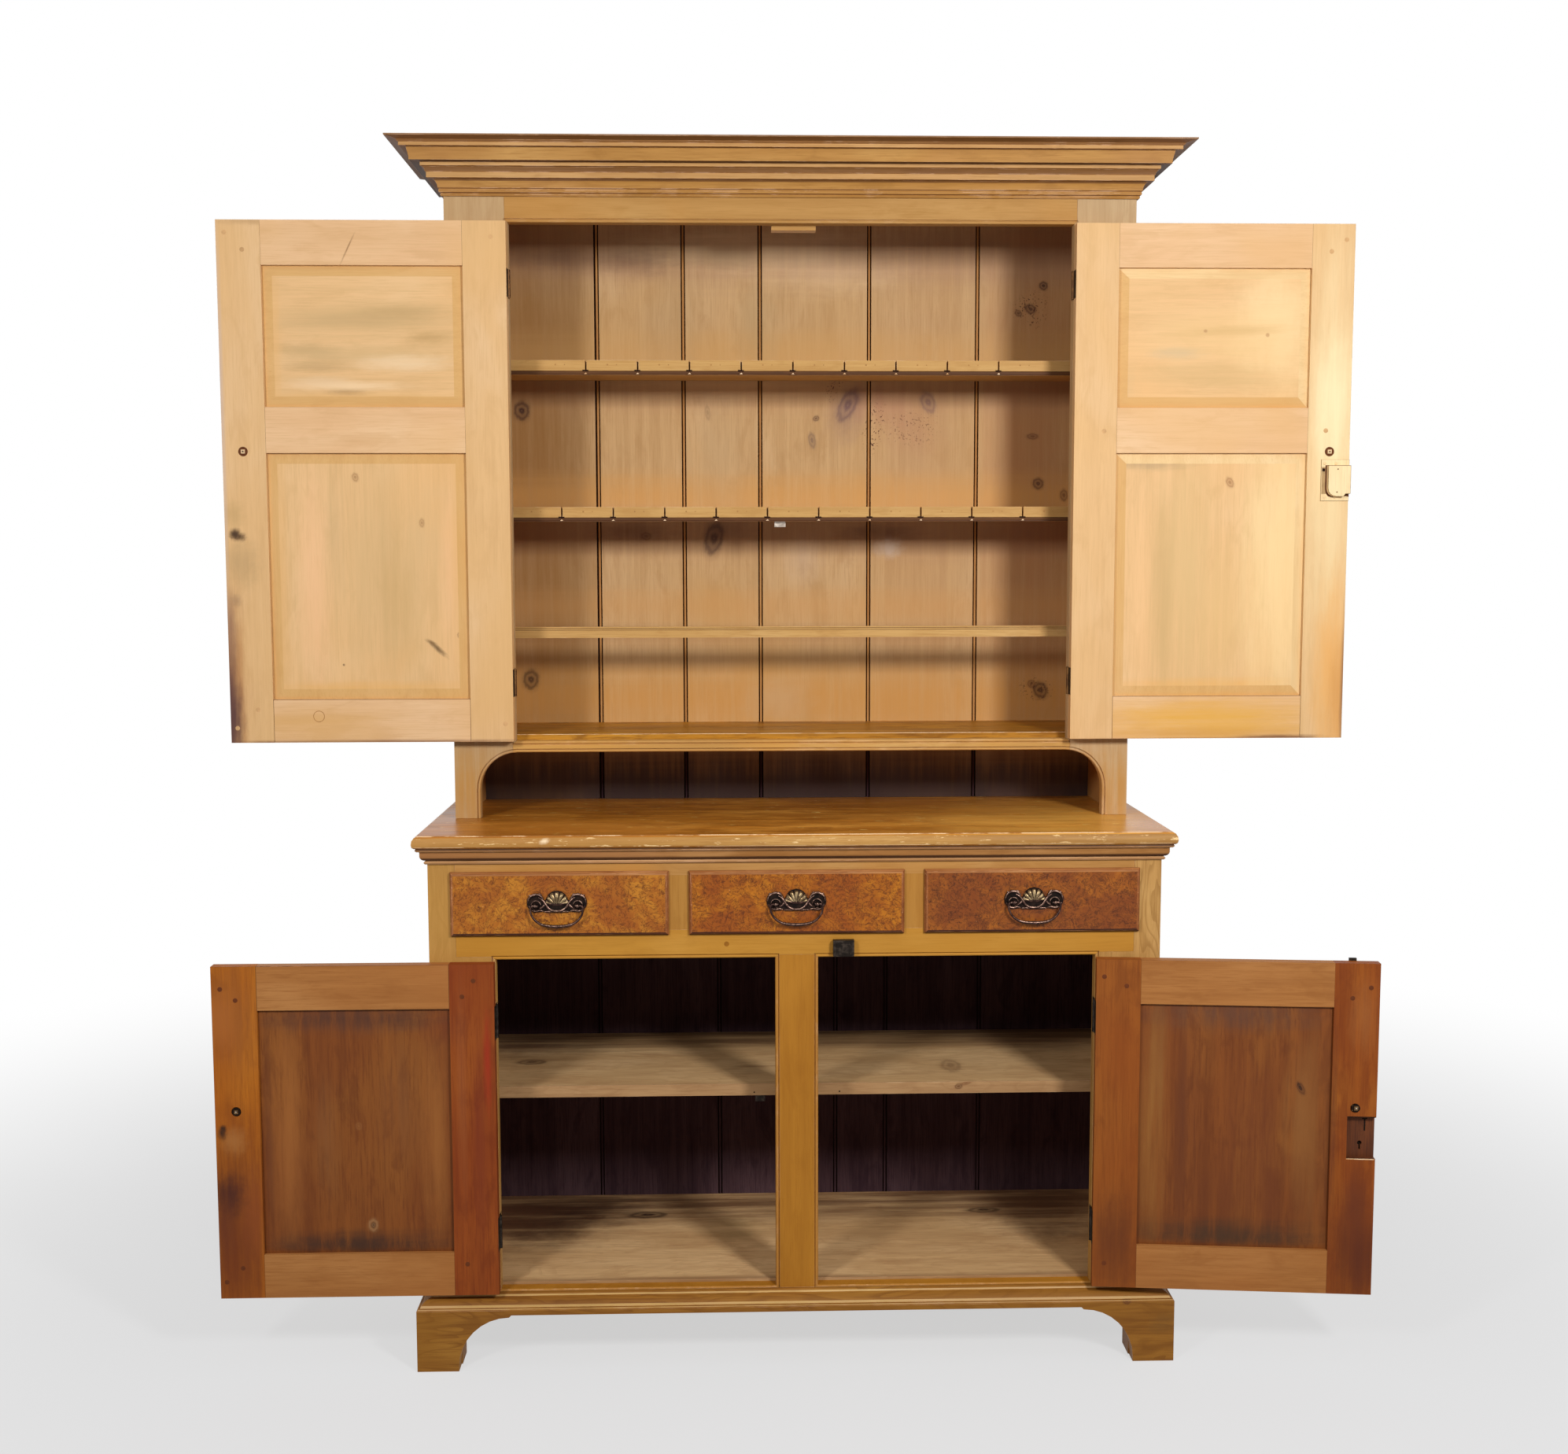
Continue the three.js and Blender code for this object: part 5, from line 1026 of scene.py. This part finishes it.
def back_boards(node, finish, bead_finish):
    """Upright boards, with a bead between two dark lines at each joint."""
    joints = BACK_JOINTS[node]
    lefts = [None, *[x + JOINT_HALF for x in joints]]
    rights = [*[x - JOINT_HALF for x in joints], None]
    if node == "upper_back_boards":
        rights[0] = joints[0] - WIDE_JOINT
    for number, (left, right) in enumerate(zip(lefts, rights)):
        board = stretch(node, RIGHT, left, right)
        piece(f"{node}_{number + 1}", board, node, finish, edge=FINE_EDGE, faces=[(facing(BACK), "rear")])
    low, high = edges_of(node)
    levels = [low.z, PIE_TOP, high.z] if low.z < PIE_TOP < high.z else [low.z, high.z]
    spans = [(-WIDE_JOINT, -REAR_JOINT, high.y), (-REAR_JOINT, REAR_JOINT, high.y - REAR_DEPTH),
             (REAR_JOINT, JOINT_HALF, high.y)]
    tongues = []
    beads = []
    for x in joints:
        for left, right, rear in spans:
            tongues.append(block((x + left, BACK_FACE + TONGUE_DEPTH, low.z), (x + right, rear, high.z)))
        rise = BACK_FACE + BEAD_RISE
        bead = [(x + BEAD_HALF * math.cos(a), rise - BEAD_RISE * math.sin(a)) for a in HALF_TURN]
        bead += [(x + side * BEAD_HALF, BACK_FACE + TONGUE_DEPTH + 0.5) for side in (-1, 1)]
        beads += [extruded(bead, bottom, top, upward) for bottom, top in zip(levels, levels[1:])]
    flush = behind(high.y - REAR_DEPTH / 2)
    piece(node + "_tongues", merged(tongues), node, "gap", edge=0, faces=[(flush, "rear")])
    piece(node + "_beads", merged(beads), node, bead_finish, edge=0, faces=[(between(0, PIE_TOP), "dark")])


def ends_and_stiles(case, stile, inside):
    for word, side in SIDES.items():
        dress(f"{case}_side_{word}", "ochre", faces=[(facing(RIGHT * -side), inside), (facing(BACK), "rear")])
        dress(f"{case}_stile_{word}", stile, faces=[(facing(BACK), inside)], **worn())


def lower_case():
    """The lower case with its counter, moulding and base."""
    ends_and_stiles("lower", "oak", "pine")
    back_boards("lower_back_boards", "dark", "dark")
    front = [(facing(-BACK), "pine_front")]
    dress("lower_bottom_board", "pine", along=RIGHT, edge_finish="rubbed_pine")
    dress("lower_shelf", "pine", along=RIGHT, edge_finish="rubbed_pine", faces=front)
    inner = [(facing(BACK, 0.9), "pine")]
    hidden = [(behind(RAIL_THICKNESS), "drawer_side")]
    bottom, top = DRAWER_OPENING
    for name, node, low, high, finish, along, faces in (
        ("centre_stile_board", "lower_centre_frame", SILL_TOP, None, "centre", UP, inner),
        ("sill_board", "lower_centre_frame", None, SILL_TOP, "ochre", RIGHT, inner),
        ("drawer_sill_board", "drawer_frame", None, bottom, "golden", RIGHT, hidden),
        ("drawer_divider_boards", "drawer_frame", bottom, top, "divider", UP, hidden),
        ("drawer_head_board", "drawer_frame", top, None, "head", RIGHT, hidden),
    ):
        piece(name, stretch(node, UP, low, high), node, finish, along=along, faces=faces, **worn())
    nose = [(lambda face: abs(face.normal.z) < 0.75, "nose")]
    dress("counter_top", "counter", along=RIGHT, edge_finish="rubbed_counter", faces=nose)
    round_the_case("counter_moulding", LOWER_CORNER, "under_counter", lined(COUNTER_LINES))
    round_the_case("bracket_base", LOWER_CORNER, "foot_oak", [(above(BASE_TOP), "base_top")])
    dress("latch_keeper", "iron", edge=FINE_EDGE)


def upper_case():
    """The upper case with its cornice and shelves."""
    ends_and_stiles("upper", "stile", "inside")
    back_boards("upper_back_boards", "back", "inside")
    dress("upper_floor_board", "floor", along=RIGHT, edge_finish="strip")
    dress("upper_top_board", "inside", along=RIGHT, faces=[(facing(UP), "rear")])
    dress("upper_top_rail", "frieze", along=RIGHT, faces=[(behind(BLOCK_FRONT), "block")], **worn())
    dress("upper_arch_rail", "ochre", along=RIGHT, **worn())
    round_the_case("cornice", UPPER_CORNER, "moulding", [
        (facing(UP), "rear"), (above(CORNICE_TOP), "cornice_top"), *lined(CORNICE_LINES),
        # faces turned down, and the hollow's underside, get painted shade with some dirt
        (facing(-UP), "cornice_dark"), (both(facing(-UP, 0.7), between(*CORNICE_HOLLOW)), "under_dark"),
    ])
    for node in ("spoon_shelf_upper", "spoon_shelf_lower", "plate_rail"):
        dress(node, "shelf", along=RIGHT, **worn("rubbed_shelf"))


def hinges():
    for case, finish in (("upper", "hinge"), ("lower", "iron")):
        for side in SIDES:
            for end in ("bottom", "top"):
                dress(f"hinge_{case}_{side}_{end}", finish, edge=IRON_EDGE)


# Drawers

PULL_MIDDLES = {"left": -420.7, "middle": -1.0, "right": 418.7}
DRAWER_JOINT = 12.0
LIP_WIDTH = 4.2
LIP_DROP = 1.2
LIP_REACH = 9.5
TAIL_COUNT = 4
TAIL_PITCH = 22.5
TAIL_START = 12.0  # from the opening's bottom up to the lowest tail's middle
TAIL_PROUD = 0.2
TAIL_SHAPE = [(2.5, -8), (12.5, -5), (12.5, 5), (2.5, 8)]
TAIL_INSET = 9.5


def drawer(word):
    """A drawer: the lipped front with its painted field, the box and the ends of the dovetails."""
    node = "drawer_" + word
    low, high = edges_of(node)
    front = stretch(node, BACK, None, DRAWER_JOINT)
    field = max(front.faces, key=lambda face: -face.normal.y * face.calc_area())
    rim = list(field.verts)
    bmesh.ops.inset_region(front, faces=[field], thickness=LIP_WIDTH * MM, depth=0.0)
    for vertex in rim:
        vertex.co.y += LIP_DROP * MM
    forwards = facing(-BACK, 0.1)
    # the lip's top faces get a painted highlight and its bottom faces painted shade, both with wear
    faces = [
        (both(forwards, between(high.z - LIP_REACH, math.inf)), "lip_light"),
        (both(forwards, between(0, low.z + LIP_REACH)), "lip_dark"),
        (facing(-BACK, 0.999), "burl_" + word),
    ]
    piece(node + "_front", front, node, "lip", along=RIGHT, faces=faces, **worn("rubbed_lip"))
    box = stretch(node, BACK, DRAWER_JOINT, None)
    looks = {"along": BACK, "slot": "bare_pine"}
    piece(node + "_box", box, node, "drawer_side", edge=FINE_EDGE, **looks)
    tails = []
    for side, x in ((-1, low.x + TAIL_INSET), (1, high.x - TAIL_INSET)):
        for number in range(TAIL_COUNT):
            middle = DRAWER_OPENING[0] + TAIL_START + number * TAIL_PITCH
            outline = [(depth, middle + rise) for depth, rise in TAIL_SHAPE]
            tails.append(extruded(outline, *sorted((x, x + side * TAIL_PROUD)), sideways))
    trim(node + "_dovetails", tails, node, "drawer_side", **looks)


# Pulls. Their outlines are x and z from the middle between the posts.

POST_HEIGHT = 838.0
POST_HALF = 36.5
PLATE_BACK = -10.3
PLATE_THICKNESS = 1.8
PLATE_TOP = (0, 26.0)
PLATE_OUTLINE = [
    (7.9, 24.4), (14.7, 19.2), (17.8, 12.0), (23.1, 8.2), (27.8, 13.0), (32.5, 18.7), (39.9, 20.3),
    (48.3, 16.1), (52.3, 7.3), (50.6, -3.8), (43.0, -10.6), (31.5, -12.3), (18.9, -10.2), (6.3, -12.3),
]
SCROLLS = [  # each is a path and the radii along it
    ([(0, -10.5), (8, -9.5), (15, -5), (20, 2), (25, 9), (32, 14)], (2.4, 2.6, 2.8, 2.8, 2.4, 1.4)),
    ([(16, 10), (20, 3), (25, -3), (31, -6)], (1.4, 2.0, 2.2, 1.2)),
    ([(24, 6), (26, 14), (33, 18.5), (41, 18), (48, 13), (50.5, 5)], (1.2, 2.0, 2.6, 2.8, 2.2, 1.2)),
    ([(49, -1), (45, -8), (37, -10.5), (30, -9), (24, -10.5)], (1.4, 2.0, 2.2, 1.8, 1.0)),
    ([(6, -12), (14, -11), (22, -11.5)], (1.2, 1.6, 1.0)),
    ([(28, 17.5), (31, 21)], (2.4, 1.2)),
    ([(44, 16), (48, 18.5)], (2.4, 1.2)),
]
EYE = [(0, 1), (9.0, 1), (9.0, 2.8), (7.8, 3.8), (6.6, 2.8), (5.8, 1.2), (3.3, 1.2), (3.2, 10.6), (2.4, 12.9),
       (0, 13.7)]
WELL_DEPTH = 2.2
RUBBED_AND_LIT_WAY = Vector((0, -0.8, 0.6))  # the way the sides of the pulls face that are rubbed, and that get a painted highlight
SHELL_HEIGHT = POST_HEIGHT - 1.0
SHELL_REACH = 25.0
SHELL_SPREAD = math.radians(84)
SHELL_LOBES = 7
SHELL_RISE = 5.6
SHELL_COLUMNS = SHELL_LOBES * 8
SHELL_ROWS = 12
BAIL_AXIS = -19.3
BAIL_RADIUS = 2.2
BAIL_HALF = 46.0
BAIL_DROP = [(32.5, 0), (41.8, 0), (44.6, -1.5), (45.8, -5.0), (44.4, -14.6), (36.6, -26.3), (22.9, -33.9)]
BAIL_BOTTOM = (0, -36.5)


def mirrored(points):
    """The other half of a path that ends on the middle line, from there outwards."""
    return [(-x, z) for x, z in reversed(points)]


def shell_spot(centre_x, share, across):
    """A point of the fan of flutes over a pull's middle, whose rim is scalloped."""
    angle = (across - 0.5) * 2 * SHELL_SPREAD
    lean = abs(angle / SHELL_SPREAD)
    flute = abs(math.sin(math.pi * SHELL_LOBES * across))
    reach = SHELL_REACH * share * (0.9 + 0.1 * flute ** 0.5) * (1 - 0.16 * lean ** 2)
    rise = SHELL_RISE * math.sin(math.pi * (0.12 + 0.78 * share)) ** 0.8 + 2.3 * share * flute - 1.0
    rise *= (1 - 0.35 * lean ** 3) if share < 1 else 0.0
    return place(centre_x + reach * math.sin(angle), PLATE_BACK - 0.6 - max(rise, 0.0),
                 SHELL_HEIGHT + reach * math.cos(angle))


def shell_mesh(centre_x):
    mesh = bmesh.new()
    grid = [
        [mesh.verts.new(shell_spot(centre_x, row / SHELL_ROWS, column / SHELL_COLUMNS))
         for column in range(SHELL_COLUMNS + 1)]
        for row in range(SHELL_ROWS + 1)
    ]
    for lower, upper in zip(grid, grid[1:]):
        for corners in zip(lower, lower[1:], upper[1:], upper):
            mesh.faces.new(corners)
    bmesh.ops.remove_doubles(mesh, verts=mesh.verts, dist=WELD * 10)
    bmesh.ops.recalc_face_normals(mesh, faces=mesh.faces)
    return mesh


def pull(word):
    """A pull: the plate with its scrolls, the posts' eyes, the shell, and the bail that hangs from it."""
    centre_x = PULL_MIDDLES[word]
    node = "pull_plate_" + word

    def at(x, z, depth):
        return (centre_x + x, PLATE_BACK - depth, POST_HEIGHT + z)
    half = rounded_path(PLATE_OUTLINE, 4)
    plate = extruded([PLATE_TOP, *half, *mirrored(half)], 0.0, PLATE_THICKNESS * 0.7, at)
    piece(node + "_plate", plate, node, "back_brass", edge=0.25)
    scrolls = []
    for side in (-1, 1):
        for points, radii in SCROLLS:
            path = rounded_path([(side * x, z) for x, z in points], 5)
            thick = [radius for radius, in rounded_path([(radius,) for radius in radii], 5)]
            scrolls.append(tube([at(x, z, PLATE_THICKNESS) for x, z in path], thick, 8))
    eyes = [turned(EYE, at(side * POST_HALF, 0, 0), -BACK) for side in (-1, 1)]
    # faces turned that way get rubbed brass with a painted highlight
    lit = (facing(RUBBED_AND_LIT_WAY, 0.72), "worn_brass")
    well = (behind(PLATE_BACK - WELL_DEPTH), "back_brass")
    trim(node + "_scrolls", scrolls, node, "brass", faces=[lit])
    trim(node + "_eyes", eyes, node, "brass", faces=[lit, well])

    def between_flutes(face):
        x, _, z = centre(face)
        angle = math.atan2(x - centre_x, z - SHELL_HEIGHT)
        return abs(math.sin(math.pi * SHELL_LOBES * (angle / SHELL_SPREAD + 1) / 2)) < 0.5
    foot = between(0, SHELL_HEIGHT + 5)
    trim(node + "_shell", [shell_mesh(centre_x)], node, "shell_brass",
         faces=[(between_flutes, "brass"), (foot, "brass")])
    path = rounded_path([*BAIL_DROP, BAIL_BOTTOM, *mirrored(BAIL_DROP)], 4)
    radii = [BAIL_RADIUS * (0.85 + 0.65 * (1 - abs(x) / BAIL_HALF)) for x, _ in path]
    rod = tube([(centre_x + x, BAIL_AXIS, POST_HEIGHT + z) for x, z in path], radii, 14)
    # a painted highlight along the bail's top, with wear
    gleam = (facing(RUBBED_AND_LIT_WAY, 0.97), "worn_brass")
    piece(f"bail_{word}_rod", rod, "bail_" + word, "brass", edge=0, faces=[gleam])


# Locks, keeper and strikes. The lock's outlines are x and z of places on the right upper door.

LOCK_BACK = 165.0
LOCK_WIDTH = 52.0
LOCK_PLATE = 163.9
LOCK_FACE = 153.9
LOCK_PLATE_SPAN = ((968.9, LOCK_PLATE, 1545.5), (1020.9, 165.7, 1620.5))
LOCK_SCREWS = ((7, 7), (26, 7), (6, 68), (27, 68))
SCREW_DEPTH = 26.2  # from the door's pin out to the lock's front
LOCK_RIVETS = ((996.6, 1602.7), (995.7, 1561.0))
LOCK_COVER = [(979, 1609.5), (979, 1568), (980.3, 1562), (983.5, 1557.5), (988.5, 1554.3), (995, 1553),
              (1008, 1553), (1012, 1558), (1020.9, 1558), (1020.9, 1609.5)]
# LOCK_SHADOW is the case's painted shadow on its plate, and LOCK_NOTCH painted shade in the cover's notch;
# both take the brown of the holes
LOCK_SHADOW = [(976.6, 1610.3), (1020.9, 1610.3), (1020.9, 1608.5), (979.5, 1608.5), (979.5, 1568),
               (984, 1558), (994, 1553.5), (993, 1551.3), (982, 1554), (978, 1559.5), (976.6, 1567)]
LOCK_NOTCH = [(1009, 1553.5), (1012, 1558.5), (1020.9, 1558.5), (1020.9, 1552.5), (1016, 1554)]
LOCK_PARTS = {  # outline, front, finish and rounding
    "cover": (LOCK_COVER, LOCK_FACE, "lock", 0.6),
    "hollow": (oblong(970.2, 1558, 979.5, 1607), LOCK_PLATE - 0.15, "hollow", 0),
    "shadow": (LOCK_SHADOW, LOCK_PLATE - 0.3, "brown_hole", 0),
    "spring": (oblong(970.6, 1599, 976, 1604.5), LOCK_PLATE - 0.3, "gap", 0),
    "notch": (LOCK_NOTCH, LOCK_PLATE - 0.3, "brown_hole", 0),
}
KEEPER_FACE = -13.0
KEEPER_RIBS = [(70, 744.5, 95, 746.5), (70, 763, 95, 765), (70, 746.5, 72, 763), (93, 746.5, 95, 763),
               (78, 748, 79.5, 761), (85, 748, 86.5, 761)]
KEEPER_SCREWS = [(x, -1.2, z) for x in (68.0, 97.0) for z in (746.5, 767.0)]
STRIKES = {  # left side, width, the shelf's face and underside, drop, shelf and finish
    "upper_strike": (-31.0, 21.0, 286.0, 1518.4, 17.5, "spoon_shelf_lower", "steel"),
    "lower_strike": (-73.0, 18.0, 99.0, 458.9, 12.0, "lower_shelf", "iron"),
}
STRIKE_ARM = 26.0


def screw(middle, axis, radius):
    """A domed screw head."""
    profile = [(0, 0), (1, 0), (1, 0.3), (0.8, 0.7), (0.4, 0.95), (0, 1.0)]
    return turned([(radius * share, height) for share, height in profile], middle, axis, 18)


def ironwork():
    """What is fixed on the rim lock and on the iron keeper."""
    door = DOORS[1]
    left = door.width - LOCK_WIDTH
    bottom = LOCK_PLATE_SPAN[0][2]
    screws = [screw(door.at(left + x, SCREW_DEPTH, bottom + z), door.out, 3.0) for x, z in LOCK_SCREWS]
    trim("lock_screws", screws, "lock_case", "lock")
    piece("lock_plate", block(*LOCK_PLATE_SPAN), "lock_case", "lock", edge=IRON_EDGE, edge_finish="seam")
    for word, (outline, front, finish, edge) in LOCK_PARTS.items():
        shape = extruded(outline, front, LOCK_BACK, forward)
        trim("lock_" + word, [shape], "lock_case", finish, edge=edge, edge_finish="seam" if edge else None)
    profile = [(0, 0), (1.5, 0), (1.1, 0.25), (0, 0.3)]
    rivets = [turned(profile, (x, LOCK_FACE + SKIN, z), -BACK, 14) for x, z in LOCK_RIVETS]
    trim("lock_rivets", rivets, "lock_case", "seam")
    ribs = [block((a, KEEPER_FACE - 1.4, b), (c, KEEPER_FACE + 0.6, d)) for a, b, c, d in KEEPER_RIBS]
    trim("keeper_ribs", ribs, "latch_keeper", "iron", edge=0.25)
    trim("keeper_screws", [screw(spot, -BACK, 2.4) for spot in KEEPER_SCREWS], "latch_keeper", "iron")


def strikes():
    """Small bent strike plates: one arm under a shelf, one hanging down behind its front edge."""
    for name, (x, width, face, under, drop, node, finish) in STRIKES.items():
        outline = [(face, under), (face + STRIKE_ARM, under), (face + STRIKE_ARM, under - 1.6),
                   (face + 1.8, under - 1.6), (face + 1.8, under - drop), (face, under - drop)]
        plate = extruded(outline, x, x + width, sideways)
        trim(name, [plate], node, finish, edge=FINE_EDGE, slot="iron")


# Marks on the boards

SHELF_HOLES = [(-75, 96.05, 465), (82, 96.05, 465)]
KEYHOLE = (1000, -70, 404)
KEYHOLE_BACKING = oblong(-20, -24, 8, 20)
SLIT_HEIGHT = 443.0
SLIT = [(-1.4, -9), (1.4, -9), (1.4, 12), (4.5, 12), (4.5, 14), (-4.5, 14), (-4.5, 12), (-1.4, 12)]
# The mortise's lines: a painted highlight along its sill and a painted shadow under its top
RECESS_LINES = (("recess_sill", 385.2, "strip"), ("recess_top", 461.4, "gap"))
DOOR_PLUG = (-867, 166, 1156)
RAIL_PLUG = (-124, 0.1, 764)


def marks():
    """Nail holes; the lines of the empty lock mortise, a painted highlight along its sill and a painted
    shadow under its top; its slit; its keyhole, dark with a sheet of painted shade behind it; and two plugs.
    """
    profile = [(0, 0), (1.8, 0), (1.2, 0.12), (0, 0.12)]
    holes = [turned(profile, spot, -BACK, 12) for spot in SHELF_HOLES]
    trim("shelf_nail_holes", holes, "lower_shelf", "hole")
    door = DOORS[3]
    for name, low, finish in RECESS_LINES:
        line = oblong(door.width - 50, low, door.width - 1.5, low + 1.8)
        strip = extruded(line, DOOR_INSIDE - 0.6, DOOR_INSIDE + SKIN, door.on_face(0, 0))
        trim(name, [strip], door.frame, finish, along=RIGHT)
    keyhole = door.where(KEYHOLE)[0]
    # a sheet of painted shade behind the keyhole
    dark = extruded(KEYHOLE_BACKING, 6.0, 7.0, door.on_face(keyhole, KEYHOLE[2]))
    trim("keyhole_dark", [dark], door.frame, "hole")
    cut = extruded(SLIT, RECESS_FLOOR - 0.5, RECESS_FLOOR + 0.15, door.on_face(keyhole, SLIT_HEIGHT))
    trim("recess_slit", [cut], door.frame, "hole")
    door = DOORS[0]
    spot = door.at(door.where(DOOR_PLUG)[0], DOOR_INSIDE - 0.2, DOOR_PLUG[2])
    ring = turned([(10.4, 0), (10.4, 0.35), (9.3, 0.35), (9.3, 0)], spot, door.out, 32)
    trim("door_plug_ring", [ring], door.frame, "seam_pale")
    plug = turned([(0, 0), (4.6, 0), (4.4, 0.3), (0, 0.3)], RAIL_PLUG, -BACK, 18)
    trim("rail_plug", [plug], "drawer_frame", "brown_plug")


# The spoon shelves' beads, slit ends and filled nails, and the plate rail's fine lines

SLOT_PITCH = 96.5
SLOT_OFFSET = 4.0
SLOT_COUNTS = {"spoon_shelf_upper": 9, "spoon_shelf_lower": 10}
SHELF_BEAD = 2.6
BEAD_GAP = 1.4  # between the shelf's underside and its bead
LINE_WIDTH = 0.9
INLAY = 1.0  # how deep the thin shapes on a front face start
NAIL_DROP = 8.5
NAILS = ((-8.0, 2.4), (9.0, 1.7))  # offsets from the middle between two slits, and radii
RAIL_LINES = (3.4, 6.6)


def fronted(node, name, outlines, finish, proud):
    """Thin shapes on a board's front face."""
    front = edges_of(node)[0].y
    shapes = [extruded(outline, front + INLAY, front - proud, forward) for outline in outlines]
    trim(name, shapes, node, finish, along=RIGHT)


def shelf_details(node, count):
    low, high = edges_of(node)
    bead = low.z + SHELF_BEAD + BEAD_GAP
    outline = [(low.y - SHELF_BEAD * 0.45 * math.sin(a), bead + SHELF_BEAD * math.cos(a)) for a in HALF_TURN]
    outline += [(low.y + INLAY, bead + side * SHELF_BEAD) for side in (-1, 1)]
    # The bead under the shelf's front, and a strip along the foot of that front, are painted shade
    trim(node + "_bead", [extruded(outline, low.x, high.x, sideways)], node, "under_dark", along=RIGHT)
    top = bead + SHELF_BEAD
    quirk = oblong(low.x, top, high.x, top + LINE_WIDTH)
    fronted(node, node + "_quirk", [quirk], "seam", 0.08)
    foot_strip = oblong(low.x, low.z + 0.1, high.x, low.z + 7.6)
    fronted(node, node + "_worn_foot", [foot_strip], "under_dark", 0.06)
    first = SLOT_OFFSET - SLOT_PITCH * (count - 1) / 2
    slits = [first + SLOT_PITCH * number for number in range(count)]
    feet = [[(x - 6, top), (x + 5, top), (x + 5, top + 2.2), (x - 6, top + 2.6)] for x in slits]
    chips = [[(x - 3, low.z + 1.4), (x + 2.6, low.z + 1.4), (x + 0.3, top - 2.4)] for x in slits]
    fronted(node, node + "_slit_feet", feet, "gap", 1.3)
    fronted(node, node + "_slit_chips", chips, "strip", 1.3)
    heads = []
    for number in range(count + 1):
        x = first + SLOT_PITCH * (number - 0.5)
        for off, radius in NAILS:
            spot = (x + off, low.y + 0.05, high.z - NAIL_DROP)
            heads.append(turned([(0, 0), (radius, 0), (0, 0.15)], spot, -BACK, 12))
    trim(node + "_nails", heads, node, "nail")


def rail_lines(node):
    low, high = edges_of(node)
    for number, drop in enumerate(RAIL_LINES):
        line = oblong(low.x, high.z - drop, high.x, high.z - drop + LINE_WIDTH)
        fronted(node, f"{node}_line_{number + 1}", [line], "seam", 0.08)


# Lamps, background, floor and camera

def added(name, data):
    """A new object in the scene."""
    made = bpy.data.objects.new(name, data)
    bpy.context.scene.collection.objects.link(made)
    return made


def lamps():
    for name, (spot, power) in LAMPS.items():
        light = bpy.data.lights.new(name, "AREA")
        light.shape = "RECTANGLE"
        light.size, light.size_y = (side * MM for side in LAMP_SIZE)
        light.energy = power
        lamp = added(name, light)
        lamp.location = place(*spot)
        heading = place(*LAMP_AIM) - lamp.location
        lamp.rotation_euler = heading.to_track_quat("-Z", "Y").to_euler()


def seen_directly(tree):
    """One where the camera, a reflection or a view through glass sees the background, else nought."""
    rays = tree.add("LightPath").outputs
    seen = rays["Is Camera Ray"]
    for ray in ("Is Glossy Ray", "Is Transmission Ray"):
        seen = tree.math("MAXIMUM", seen, rays[ray])
    return seen


def background():
    """White where it is seen, and a soft light from above for all else."""
    world = bpy.data.worlds.new("room")
    bpy.context.scene.world = world
    tree = Tree(world)
    heading = tree.add("SeparateXYZ", {0: tree.add("TexCoord").outputs["Generated"]})
    ceiling = tree.band(heading.outputs["Z"], *CEILING, *ROOM_LIGHT)
    strength = tree.add("MapRange", {"Value": seen_directly(tree), "To Min": ceiling, "To Max": 1.0})
    light = tree.nodes["Background"].inputs
    tree.put(light["Color"], WHITE)
    tree.put(light["Strength"], strength.outputs["Result"])


def floor_plane():
    """A pale floor that fades into the background."""
    data = bpy.data.meshes.new("floor")
    mesh = bmesh.new()
    bmesh.ops.create_grid(mesh, x_segments=1, y_segments=1, size=FLOOR_SIZE)
    mesh.to_mesh(data)
    mesh.free()
    tree = Finish(0.9, specular=0.5)
    tree.put(tree.shader["Base Color"], FLOOR_COLOUR)
    reach = tree.add("VectorMath", {0: tree.place}, operation="LENGTH").outputs["Value"]
    fade = tree.band(reach, *FLOOR_FADE, *FLOOR_GLOW)
    glow = tree.add("Emission", {"Color": WHITE})
    surface = tree.nodes["Principled BSDF"].outputs[0]
    shares = {0: tree.math("MULTIPLY", seen_directly(tree), fade), 1: surface, 2: glow.outputs[0]}
    blend = tree.add("MixShader", shares)
    tree.put(tree.nodes["Material Output"].inputs["Surface"], blend.outputs[0])
    tree.owner.name = "pale_floor"
    data.materials.append(tree.owner)
    floor = added("floor", data)


def camera():
    data = bpy.data.cameras.new("camera")
    data.lens = LENS
    data.sensor_width = SENSOR
    made = added("camera", data)
    yaw, pitch, roll = map(math.radians, CAMERA_TURNS)
    heading = Vector((math.sin(yaw) * math.cos(pitch), math.cos(yaw) * math.cos(pitch), math.sin(pitch)))
    right = Vector((math.cos(yaw), -math.sin(yaw), 0))
    up = right.cross(heading)
    across = right * math.cos(roll) + up * math.sin(roll)
    over = up * math.cos(roll) - right * math.sin(roll)
    turn = Matrix((across, over, -heading)).transposed()
    made.matrix_world = Matrix.Translation(place(*CAMERA_PLACE)) @ turn.to_4x4()
    bpy.context.scene.camera = made


lower_case()
upper_case()
hinges()
dress_doors()
for side_word in PULL_MIDDLES:
    drawer(side_word)
    pull(side_word)
dress("lock_bolt", "iron", edge=IRON_EDGE)
dress("catch_plate", "iron", edge=IRON_EDGE)
ironwork()
strikes()
marks()
for shelf, slits in SLOT_COUNTS.items():
    shelf_details(shelf, slits)
rail_lines("plate_rail")
lamps()
background()
floor_plane()
camera()

bpy.context.scene.view_settings.view_transform = "Standard"
